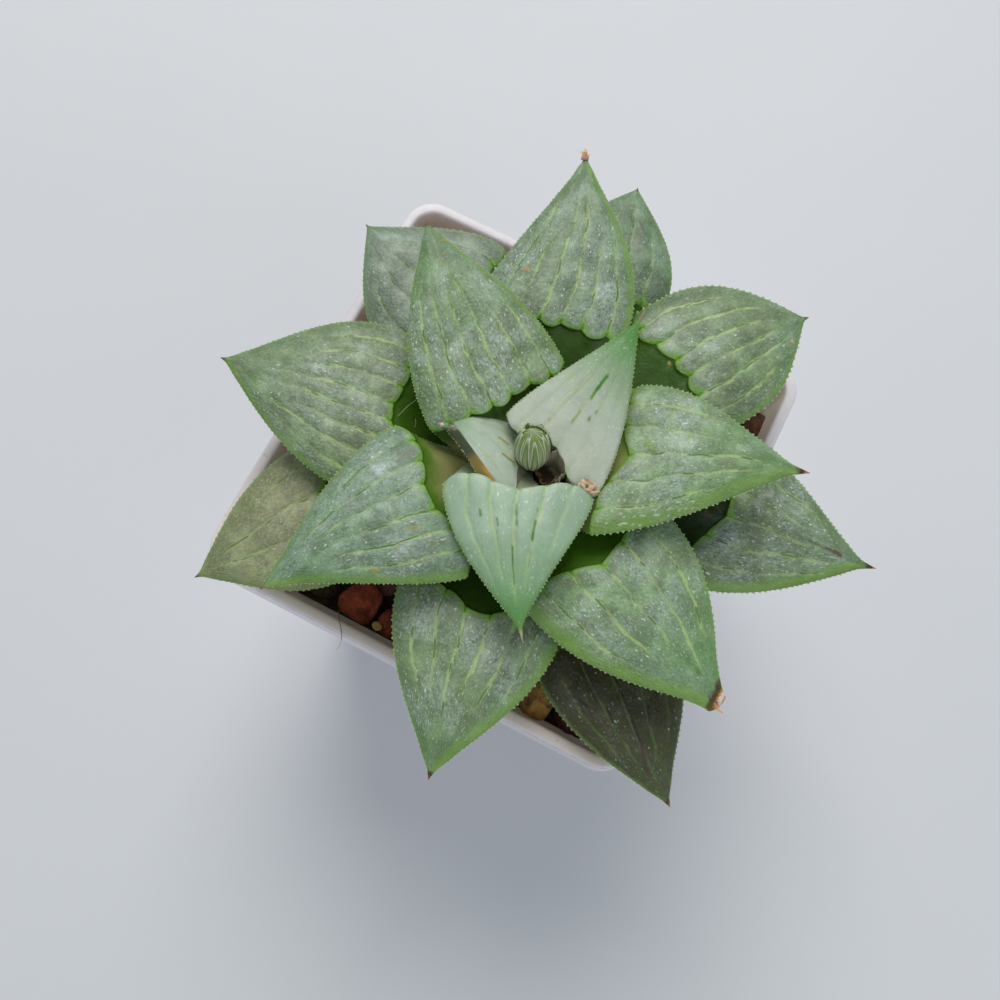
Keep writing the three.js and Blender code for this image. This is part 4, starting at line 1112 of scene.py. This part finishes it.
def arc(half, radius, z, round_radius, start, stop, steps=5):
    """Sections of the pot along a rounded edge, whose centre lies at half and z."""
    loops = []
    for k in range(steps + 1):
        angle = math.radians(start + (stop - start) * k / steps)
        shift = round_radius * math.cos(angle)
        loops.append((half + shift, max(radius + shift, 0.4), z + round_radius * math.sin(angle)))
    return loops


def pot_shell():
    """The pot without its openings, as one closed tube over the wall, the rim and the inner wall."""
    lip_bottom = POT_HEIGHT - LIP_HEIGHT
    half = POT_WIDTH / 2
    inside_corner = RIM_CORNER - INNER_CORNER_INSET
    under, edge = LIP_UNDER_ROUND, LIP_EDGE_ROUND
    sections = arc(wall_half(0) - FOOT_ROUND, BASE_CORNER - FOOT_ROUND, FOOT_ROUND, FOOT_ROUND, -90, -5)
    sections += [(wall_half(z), corner_radius(z), z) for z in np.linspace(4, lip_bottom - 0.6, 8)]
    sections += arc(wall_half(lip_bottom) + under, corner_radius(lip_bottom) + under,
                    lip_bottom - under, under, 180, 90, 3)
    sections += arc(half + LIP_FLARE - edge, RIM_CORNER + LIP_FLARE - edge,
                    lip_bottom + edge, edge, -90, 0, 3)
    sections += arc(half - RIM_ROUND, RIM_CORNER - RIM_ROUND, POT_HEIGHT - RIM_ROUND, RIM_ROUND, 0, 90)
    sections += arc(INNER_TOP + RIM_ROUND, inside_corner + RIM_ROUND,
                    POT_HEIGHT - RIM_ROUND, RIM_ROUND, 90, 180)
    sections += [
        (inner_half(z), inside_corner + (BASE_CORNER - RIM_CORNER) * (1 - z / POT_HEIGHT), z)
        for z in np.linspace(POT_HEIGHT - 3, POT_FLOOR + 1.2, 10)
    ]
    sections += [(INNER_BOTTOM - FOOT_ROUND, BASE_CORNER - INNER_CORNER_INSET - FOOT_ROUND, POT_FLOOR)]
    points = np.array([rounded_square(*section) for section in sections]).reshape(-1, 3)
    return points, closed_tube(len(sections), 4 * (CORNER_STEPS + 1))


def pot_openings():
    """The drain holes, slots and foot grooves, each as a solid to cut away."""
    cuts = []
    low, high = -1.0, POT_FLOOR + 1.0
    round_end = SLOT_WIDTH / 2
    straight = SLOT_LENGTH / 2 - round_end
    for quarter in range(4):
        turn = np.array(Matrix.Rotation(quarter * math.pi / 2, 2))
        x, y = turn @ (DRAIN_REACH, DRAIN_REACH)
        hole = [(x + DRAIN_RADIUS * math.cos(a), y + DRAIN_RADIUS * math.sin(a)) for a in circle(48)]
        slot = [
            turn @ (SLOT_REACH + round_end * math.cos(a), end * straight + round_end * math.sin(a))
            for end in (1, -1) for a in np.radians(90 - 90 * end + 15 * np.arange(13))
        ]
        reach = POT_BASE_WIDTH / 2 + 2
        groove = [(GROOVE_START, -1), (reach, -1), (reach, 1), (GROOVE_START, 1)]
        groove = [turn @ (a, b * GROOVE_WIDTH / 2) for a, b in groove]
        cuts += [extruded(hole, low, high), extruded(slot, low, high), extruded(groove, -1.0, GROOVE_DEPTH)]
    return joined(cuts)


# The root hair that hangs over the front rim
HAIR = [
    (-12.6, -32.1, 63.0), (-11.9, -33.0, 64.06), (-10.9, -34.1, 64.1),
    (-10.2, -35.1, 63.95), (-9.98, -36.2, 62.7), (-10.3, -37.1, 61.5),
]


def pot_piece():
    shell = make_object("pot_body", *pot_shell())
    cutter = make_object("pot_cutter", *pot_openings())
    modifier = shell.modifiers.new("cut", "BOOLEAN")
    modifier.operation = "DIFFERENCE"
    modifier.solver = "EXACT"
    modifier.use_self = True
    modifier.object = cutter
    mesh = bpy.data.meshes.new_from_object(shell.evaluated_get(bpy.context.evaluated_depsgraph_get()))
    body = [tuple(v.co / MM) for v in mesh.vertices], [list(face.vertices) for face in mesh.polygons]
    bpy.data.objects.remove(cutter)
    bpy.data.objects.remove(shell)
    hair, hair_faces, _ = strand(HAIR, [0.07, 0.06, 0.04], 0.06)
    pot = make_object("pot_body", *joined([body, (hair, hair_faces)]), 35)
    set_attribute(pot, "hair", [0.0] * len(body[0]) + [1.0] * len(hair))
    return pot


def pot_material():
    m = Shader("pot_plastic")
    here = m.here()
    x, y, z = m.split(here)
    # The distance of the rounded-square section through a point, against that through the wall's middle
    slope = wall_half(0) - POT_WALL / 2 + z * ((wall_half(POT_HEIGHT) - wall_half(0)) / POT_HEIGHT)
    over_x, over_y = [m.larger(abs(a) - (slope - BASE_CORNER), 0.0) for a in (x, y)]
    outward = m.math("SQRT", over_x * over_x + over_y * over_y) - BASE_CORNER
    reach = slope + outward
    inside = m.step(outward, 0.05, -0.05) * m.step(z, 63.6, 63.0)
    # The inner wall: a light warm tan, partly painted glow of light through the thin plastic and partly soil
    # stain, with dark specks of dirt; it grows stronger lower down.
    wall_glow_and_dirt = m.mix(m.noise(here, 0.4, 4.0, 0.6), (236, 214, 194), (250, 238, 226))
    wall_glow_and_dirt = m.mix(m.step(m.noise(here, 1.1, 3.0, 0.7), 0.64, 0.74, 0.0, 0.8), wall_glow_and_dirt, (96, 72, 56))
    # Painted light on the inner half of the rim, strongest at the front where the leaves shade it: a warm,
    # light tint.
    inner_rim_light = m.step(z, 62.5, 63.6) * m.step(reach + m.noise(here, 0.8, 3.0) * 0.3, 35.0, 34.7)
    seam = m.step(abs(z - 63.55), 0.22, 0.05) * m.step(reach, 34.5, 34.8)
    seam = seam * m.step(m.noise(here, 0.6, 4.0, 0.8), 0.42, 0.6)
    # The white plastic carries a faint lavender-pink tint, which is painted reflection.
    plastic = m.coats(
        m.mix(m.noise(here, 0.05, 2.0), (236, 224, 230), (244, 236, 240)),
        (inside * m.step(z, 64.0, 57.0, 0.5, 1.0), wall_glow_and_dirt),
        (inner_rim_light * m.step(y, -10.0, -28.0, 0.1, 0.8), (248, 222, 208)),
        (seam * 0.7, (150, 92, 82)),
        (m.step(m.noise(here, 0.9, 4.0, 0.7), 0.66, 0.74) * m.step(z, 50.0, 64.0, 0.15, 0.6),
         (150, 126, 108)),
        (m.attribute("hair", "Fac"), (120, 84, 52)),
    )
    m.set(Base_Color=plastic, Roughness=m.step(m.noise(here, 0.6, 3.0), 0.3, 0.7, 0.3, 0.45), IOR=1.46)
    m.glow(0.6, 0.004, 1.0, 0.92, 0.86)
    m.relief(m.noise(here, 1.5, 3.0), 0.12, 0.06)
    return m.material


# Gravel
GRAIN_COLOURS = [
    (164, 68, 38), (138, 60, 38), (182, 96, 56), (104, 54, 38),
    (214, 166, 92), (180, 142, 96), (78, 58, 46), (140, 108, 84),
]
# Grains that show between the leaves: place, radius and colour
SEEN_GRAINS = [
    ((-11.2, -28.9, 58.6), 3.6, (206, 84, 44)),
    ((-5.0, -29.4, 58.4), 2.6, (190, 74, 42)),
    ((-6.9, -31.2, 60.6), 0.8, (255, 206, 124)),
    ((-9.0, -24.5, 57.6), 2.6, (110, 60, 40)),
    ((19.6, -29.7, 58.8), 3.1, (255, 190, 100)),
    ((13.5, -30.4, 57.2), 2.7, (126, 60, 40)),
    ((25.0, -29.6, 57.4), 2.9, (150, 84, 62)),
    ((31.2, 25.6, 57.6), 2.9, (104, 50, 30)),
    ((29.6, 21.4, 57.8), 2.2, (250, 190, 110)),
    ((30.0, 15.0, 57.4), 2.7, (96, 54, 40)),
]
# Layers of the other large grains: height, pitch and radii
GRAIN_LAYERS = [(56.4, 5.6, (2.5, 3.1)), (57.6, 5.9, (2.4, 3.2))]
GRAIN_SHIFT = 0.7
SMALL_GRAINS = 260
SMALL_RADII = (0.5, 1.3)
SMALL_HEIGHTS = (57.6, 58.8)
GRAIN_CUTS = 9
LEAF_CLEARANCE = 0.2
WALL_CLEARANCE = 0.4
DROP_STEP, DROPS = 0.6, 6
SOIL_TOP = 58.0
ROOT_HOLE = 6.0
BED_TOP = 55.6
BED_STEPS = 60
BED_GAP = 0.3
BED_THICKNESS = 1.2


def rock(rng, radius, ball, rounded=0.0):
    """An angular grain: a ball cut flat on a few random sides, then roughened."""
    points, faces = ball
    shape = points.copy()
    for _ in range(GRAIN_CUTS):
        normal = unit([rng.gauss(0, 1) for _ in range(3)])
        limit = rng.uniform(0.62 + rounded, 0.9 + 0.5 * rounded)
        beyond = shape @ normal - limit
        shape = shape - np.outer(np.maximum(beyond, 0) * 0.92, normal)
    shape = shape * [rng.uniform(0.9, 1.15), rng.uniform(0.8, 1.0), rng.uniform(0.7, 0.9)]
    turn = np.array(Matrix.Rotation(rng.uniform(0, 6.28), 3, Vector([rng.gauss(0, 1) for _ in range(3)])))
    shape = shape @ turn.T * radius
    bumps = 0.05 * radius * lumps(shape, 0.45 * radius, rng.uniform(0, 99))
    return shape * (1 + bumps / radius)[:, None], faces


def icosphere(subdivisions):
    ball = bmesh.new()
    bmesh.ops.create_icosphere(ball, subdivisions=subdivisions, radius=1.0)
    points = np.array([tuple(v.co) for v in ball.verts])
    faces = [[v.index for v in f.verts] for f in ball.faces]
    ball.free()
    return points, faces


def gravel_piece(leaf_tree):
    rng = random.Random(SEEDS["gravel"])
    parts, tints = [], []
    large_ball, small_ball = icosphere(4), icosphere(2)

    def place_grain(centre, radius, colour, ball, rounded=0.0):
        centre = np.array(centre, float)
        for _ in range(DROPS):
            if leaf_tree.find(centre)[2] > radius + LEAF_CLEARANCE:
                break
            centre[2] -= DROP_STEP
        shape, faces = rock(rng, radius, ball, rounded)
        add_part((shape + centre, faces), colour)

    def add_part(part, colour):
        parts.append(part)
        tints.extend([(*srgb(*colour), 1.0)] * len(part[0]))

    for centre, radius, colour in SEEN_GRAINS:
        place_grain(centre, radius, colour, large_ball, 0.04)
    reach = inner_half(SOIL_TOP) - WALL_CLEARANCE
    for layer, (height, pitch, size) in enumerate(GRAIN_LAYERS):
        count = int(2 * reach / pitch)
        for row in range(count + 1):
            for column in range(count + 1):
                radius = rng.uniform(*size)
                room = reach - radius
                x = -room + 2 * room * (column + 0.5 * ((row + layer) % 2)) / (count + 0.5)
                y = -room + 2 * room * row / count
                x, y = x + rng.uniform(-GRAIN_SHIFT, GRAIN_SHIFT), y + rng.uniform(-GRAIN_SHIFT, GRAIN_SHIFT)
                x, y = max(-room, min(room, x)), max(-room, min(room, y))
                colour = rng.choice(GRAIN_COLOURS)
                if math.hypot(x - AXIS[0], y - AXIS[1]) < ROOT_HOLE + radius:
                    continue
                if any(math.hypot(x - at[0], y - at[1]) < 0.95 * (radius + r) for at, r, _ in SEEN_GRAINS):
                    continue
                place_grain((x, y, height + rng.uniform(-0.5, 0.4)), radius, colour, small_ball)
    for _ in range(SMALL_GRAINS):
        x, y = rng.uniform(-reach + 1.5, reach - 1.5), rng.uniform(-reach + 1.5, reach - 1.5)
        radius = rng.uniform(*SMALL_RADII)
        colour = rng.choice(GRAIN_COLOURS)
        clear = all(math.hypot(x - at[0], y - at[1]) > radius + r + 0.6 for at, r, _ in SEEN_GRAINS)
        if clear and math.hypot(x - AXIS[0], y - AXIS[1]) > ROOT_HOLE + 2:
            place_grain((x, y, rng.uniform(*SMALL_HEIGHTS)), radius, colour, small_ball)

    # The fine bed that the grains lie on
    line = np.linspace(-1, 1, BED_STEPS) * (inner_half(BED_TOP) - BED_GAP)
    grid = np.array([[(a, b, BED_TOP) for a in line] for b in line])
    grid[..., 2] += 0.5 * lumps(grid, 2.5) + 0.2 * lumps(grid, 0.9)
    add_part(closed_sheet(grid, grid * [1, 1, 0] + [0, 0, BED_TOP - BED_THICKNESS]), (52, 38, 30))
    loops = [rounded_square(inner_half(z) - BED_GAP, 2.5, z) for z in (BED_TOP - 1.0, POT_FLOOR + 0.3)]
    add_part((np.array(loops).reshape(-1, 3), flipped(closed_tube(2, len(loops[0])))), (60, 44, 34))
    piece = make_object("gravel_grains", *joined(parts), 38)
    set_attribute(piece, "tint", tints)
    return piece


def gravel_material():
    m = Shader("gravel_stone")
    here, tint = m.here(), m.attribute("tint", "Color")
    shade = m.step(m.noise(here, 0.8, 5.0, 0.7), 0.3, 0.75)
    base = m.coats(
        m.mix(shade, m.mix(0.42, tint, (40, 26, 18)), m.mix(0.12, tint, (220, 190, 150))),
        (m.step(m.noise(here, 3.0, 3.0, 0.7), 0.62, 0.72), (40, 28, 22)),
        (m.step(m.noise(here, 0.42, 4.0, 0.65), 0.5, 0.64, 0.0, 0.6), (46, 30, 20)),
    )
    m.set(Base_Color=base, Roughness=0.88)
    m.relief(m.noise(here, 2.6, 5.0, 0.7), 0.8, 0.35)
    return m.material


# Flower bud
CORE_SIDES = 24
CORE_ROWS = 14
BRACTS = 26
OUTER_BRACTS = 10
CURLED_BRACTS = (3, 6, 8)
BRACT_ROWS = 16
BRACT_COLUMNS = 13
GOLDEN_ANGLE = math.radians(137.5)


def bud_piece():
    foot, apex = about(*BUD_FOOT), about(*BUD_APEX)
    axis = unit(apex - foot)
    height = np.linalg.norm(apex - foot)
    side = unit(np.cross(axis, [0, 0, 1.0]))
    other = np.cross(axis, side)

    def radial(angle):
        return np.multiply.outer(np.cos(angle), side) + np.multiply.outer(np.sin(angle), other)

    rng = random.Random(SEEDS["bud"])
    u = np.linspace(0, 1, CORE_ROWS)[:, None, None]
    core = foot + axis * height * u * 0.92 + radial(circle(CORE_SIDES)) * bud_radius(u) * (0.82 - 0.75 * u**6)
    parts = [(core.reshape(-1, 3), closed_tube(CORE_ROWS, CORE_SIDES))]
    stripes = [(0.9, 0.2, 0)] * (CORE_ROWS * CORE_SIDES)
    p, q = np.linspace(0, 1, BRACT_ROWS)[:, None], np.linspace(-1, 1, BRACT_COLUMNS)
    for k in range(BRACTS):
        age = k / (BRACTS - 1)
        turn = k * GOLDEN_ANGLE
        inner = k >= OUTER_BRACTS
        start = 0.3 * age
        stop = 1.0 if inner else start + 0.84
        flare, taller = rng.uniform(0.0, 0.2) * (not inner), rng.uniform(0.0, 0.06) * (not inner)
        flare += 0.7 * (k in CURLED_BRACTS)
        u = start + (stop - start) * p
        body = np.maximum(bud_radius(np.minimum(u, 1.0)), 0.18) * (1.02 - 0.12 * age)
        body = body * (1 - 0.94 * smooth(0.8, 1.0, p) * inner)
        wide = (0.76 - 0.2 * age) * np.sin(np.pi * np.minimum(0.15 + 0.8 * p, 1)) ** 0.7 * (1 - 0.3 * p)
        reach = np.maximum(wide, 0.03) / np.maximum(body, 0.12)
        reach = np.minimum(reach, 1.1 - 0.78 * smooth(0.5, 0.9, p) * inner)
        out = body + 0.1 + 0.14 * p * (1 - p) + flare * smooth(0.72, 1.0, p)
        out = out + 0.1 * (1 - abs(q)) ** 2 - 0.06 * q * q
        up = height * (u + taller * smooth(0.7, 1.0, p))
        grid = foot + axis * up[..., None] + radial(turn + q * reach) * out[..., None]
        parts.append(closed_sheet(grid, grid - 0.12 * radial(turn)))
        chance = rng.random()
        stripes += [(abs(b), a, chance) for a in p[:, 0] for b in q] * 2
    bud = make_object("flower_bud_bracts", *joined(parts), 60)
    set_attribute(bud, "stripe", stripes)
    return bud


def bud_material():
    m = Shader("bud_bracts")
    across, along, chance = m.split(m.attribute("stripe"))
    here = m.here()
    ragged = m.blur(across, m.noise(here, 2.0, 3.0), 0.2)
    green = m.mix(m.step(along, 0.1, 0.8), (98, 118, 40), (122, 146, 36))
    white = m.mix(m.noise(here, 1.5, 3.0), (196, 204, 164), (232, 236, 212))
    bract = m.mix(chance * 0.6, green, (150, 142, 44))
    middle = m.mix(m.step(along, 0.35, 0.95), (176, 190, 148), (110, 146, 66))
    bract = m.mix(m.step(ragged, 0.32, 0.44), middle, bract)
    bract = m.coats(bract, (m.step(ragged, 0.62, 0.76), white), (m.step(along, 0.86, 1.0) * 0.7, white))
    m.set(Base_Color=bract, Roughness=0.42)
    m.glow(0.2, 0.001, 0.8, 1.0, 0.5)
    m.relief(m.noise(here, 3.0, 3.0), 0.3, 0.08)
    return m.material


# Dry foot of the last flower stalk
HUSK_SIDES = 72
HUSK_ROWS = 20
HUSK_FIBRES = 46
# Direction of the side where the husk stands highest, and where its inner wall starts
HUSK_HIGH_SIDE = 1.2
HUSK_HOLLOW = 2.6


def husk_piece():
    rng = random.Random(SEEDS["husk"])
    foot = about(*HUSK_FOOT)
    angles = circle(HUSK_SIDES)
    x, y = np.cos(angles), np.sin(angles)
    ragged = lumps(np.stack([2 * x, 2 * y, 0 * x + 3.1], -1), 1.0)
    ridge = 0.82 + 0.18 * np.cos(angles - HUSK_HIGH_SIDE) + 0.1 * ragged
    tops = HUSK_HEIGHT * np.minimum(ridge + [rng.uniform(-0.045, 0.045) for _ in angles], 1.0)
    fold = 0.12 * np.sin(4 * angles + 1) + 0.07 * np.sin(9 * angles)
    p = np.linspace(0, 1, HUSK_ROWS)[:, None]
    walls = []
    for wall in (0, 1):
        radius = HUSK_RADIUS * (1.0 - 0.12 * p + 0.1 * p**3) * (1 + fold * p) - wall * (0.55 * (1 - p) + 0.16)
        radius = radius + 0.12 * lumps(np.stack(np.broadcast_arrays(6 * x, 6 * y, 5 * p + 9 * wall), -1), 1.0)
        base = HUSK_HOLLOW * wall
        walls.append(foot + np.stack([radius * x, radius * y, base + (tops - base) * p], -1))
    n = HUSK_ROWS * HUSK_SIDES
    faces = tube_faces(HUSK_ROWS, HUSK_SIDES) + flipped(tube_faces(HUSK_ROWS, HUSK_SIDES, n))
    top = n - HUSK_SIDES
    faces += [
        [top + k, top + (k + 1) % HUSK_SIDES, n + top + (k + 1) % HUSK_SIDES, n + top + k]
        for k in range(HUSK_SIDES)
    ]
    faces += [list(range(HUSK_SIDES))[::-1], [n + k for k in range(HUSK_SIDES)]]
    high = np.repeat(p, HUSK_SIDES)
    far = np.tile(0.5 + 0.5 * np.cos(angles - HUSK_HIGH_SIDE), HUSK_ROWS)
    rim = [*high, *(0.45 * high + 0.95 * far)]
    parts = [(np.reshape(walls, (-1, 3)), faces)]
    for _ in range(HUSK_FIBRES):
        root = walls[0][-1, rng.randrange(HUSK_SIDES)]
        out = np.array([rng.uniform(-0.5, 0.5), rng.uniform(-0.5, 0.5), rng.uniform(0.0, 0.5)])
        path = [root - [0, 0, 0.25], root, root + 0.6 * out, root + out]
        fibre, fibre_faces, _ = strand(path, [0.05, 0.045, 0.02], 0.04, sides=4)
        parts.append((fibre, fibre_faces))
        rim += [1.0] * len(fibre)
    points, faces = joined(parts)
    husk = make_object("dry_stalk_husk", points, faces, 60)
    set_attribute(husk, "rim", rim)
    set_attribute(husk, "near", [
        0.5 - 0.5 * math.cos(math.atan2(y - foot[1], x - foot[0]) - HUSK_HIGH_SIDE) for x, y, _ in points
    ])
    return husk


def husk_material():
    m = Shader("dry_husk")
    here = m.here()
    # Dark brown low on the outer wall and inside the hollow on its near side, painted shade in the hollow;
    # grey-beige higher up, on the far inner wall and on the fibres, and orange-brown towards the near side.
    rim = m.blur(m.attribute("rim", "Fac"), m.noise(here, 1.2, 4.0, 0.7), 0.5)
    base = m.mix(m.noise(here, 0.9, 4.0, 0.7), (84, 68, 50), (136, 114, 86))
    grey = m.mix(m.noise(here, 2.4, 4.0, 0.8), (156, 142, 110), (240, 232, 206))
    grey = m.mix(m.step(m.attribute("near", "Fac"), 0.5, 0.85, 0.0, 0.8), grey, (150, 92, 52))
    m.set(Base_Color=m.mix(m.step(rim, 0.6, 0.85), base, grey), Roughness=0.85)
    m.relief(m.noise(here, 3.0, 4.0, 0.7), 1.0, 0.4)
    return m.material


# The scene around the object
FLOOR_REACH = 1500.0
LIGHT_AIM = (0.0, 0.0, 0.07)
# Place and size in metres, power in watts and colour of each lamp
LAMPS = {
    "key_light": ((-0.25, 0.45, 0.75), 0.6, 4.55, (1.0, 0.985, 0.95)),
    "fill_light": ((0.6, -0.35, 0.5), 0.8, 1.1, (0.92, 0.96, 1.0)),
}
SKY = (0.82, 0.9, 1.0, 1)
SKY_STRENGTH = 0.38
# The camera's place in the part's frame, the way it looks and the way that is upward in the photograph
CAMERA_PLACE = (16.04, -44.22, 210.89)
CAMERA_LOOK = (-0.099, 0.2505, -0.963)
CAMERA_UP = (-0.445, 0.8545, 0.268)
# Width of the sensor and focal length
CAMERA_LENS = (36.0, 36.0)
PRESS_GAP = 0.04


def floor_piece():
    corners = [(x * FLOOR_REACH, y * FLOOR_REACH, 0) for x, y in ((-1, -1), (1, -1), (1, 1), (-1, 1))]
    floor = make_object("studio_floor", corners, [[0, 1, 2, 3]])
    m = Shader("studio_floor")
    m.set(Base_Color=m.mix(m.noise(m.here(), 0.01, 2.0), (222, 224, 226), (228, 229, 230)), Roughness=0.7)
    floor.data.materials.append(m.material)


def area_light(name, place, size, power, colour):
    light = bpy.data.lights.new(name, "AREA")
    light.shape = "DISK"
    light.size = size
    light.energy = power
    light.color = colour
    lamp = bpy.data.objects.new(name, light)
    lamp.location = place
    lamp.rotation_euler = (Vector(LIGHT_AIM) - Vector(place)).to_track_quat("-Z", "Y").to_euler()
    bpy.context.scene.collection.objects.link(lamp)


def studio():
    floor_piece()
    for name, lamp in LAMPS.items():
        area_light(name, *lamp)
    world = bpy.data.worlds.new("studio_world")
    world.use_nodes = True
    background = world.node_tree.nodes["Background"]
    background.inputs["Color"].default_value = SKY
    background.inputs["Strength"].default_value = SKY_STRENGTH
    bpy.context.scene.world = world
    bpy.context.scene.view_settings.view_transform = "Standard"


def photo_camera():
    data = bpy.data.cameras.new("camera")
    data.sensor_width, data.lens = CAMERA_LENS
    data.clip_start = 0.005
    camera = bpy.data.objects.new("camera", data)
    back = -Vector(CAMERA_LOOK).normalized()
    right = Vector(CAMERA_UP).cross(back).normalized()
    turn = Matrix((right, back.cross(right), back)).transposed().to_4x4()
    camera.matrix_world = Matrix.Translation(Vector(CAMERA_PLACE) * MM) @ turn
    bpy.context.scene.collection.objects.link(camera)
    bpy.context.scene.camera = camera


def finish_piece(piece, node, material):
    piece.data.materials.clear()
    piece.data.materials.append(material)
    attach(piece, "root")
    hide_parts(node)


def press_against(piece, other, push):
    """Moves the points of a piece that lie in another one out through its surface, along one direction."""
    mesh = other.data
    tree = BVHTree.FromPolygons([v.co / MM for v in mesh.vertices], [list(p.vertices) for p in mesh.polygons])
    for vertex in piece.data.vertices:
        point = vertex.co / MM
        near, normal, _, _ = tree.find_nearest(point)
        if (point - near).dot(normal) < 0:
            out = tree.ray_cast(point, push)[0]
            if out is not None:
                vertex.co = (out + PRESS_GAP * push) * MM


photo_camera()
studio()
leaf_skin = leaf_material()
leaves = [Leaf(age) for age in range(len(LEAVES))]
leaf_pieces = [leaf_piece(leaf) for leaf in leaves]
for leaf, body in zip(leaves, leaf_pieces):
    finish_piece(body, f"leaf_{leaf.age + 1:02d}", leaf_skin)

# The youngest leaf lies flat against the rear of the third
press_against(leaf_pieces[0], leaf_pieces[2], Vector((*-leaves[2].along[:2], 0)).normalized())

leaf_points = [v.co / MM for body in leaf_pieces for v in body.data.vertices]
leaf_tree = kdtree.KDTree(len(leaf_points))
for index, point in enumerate(leaf_points):
    leaf_tree.insert(point, index)
leaf_tree.balance()

finish_piece(pot_piece(), "pot", pot_material())
finish_piece(gravel_piece(leaf_tree), "gravel", gravel_material())
finish_piece(bud_piece(), "flower_bud", bud_material())
finish_piece(husk_piece(), "dry_stalk", husk_material())
finish_piece(stem_piece(), "stem", stem_material())
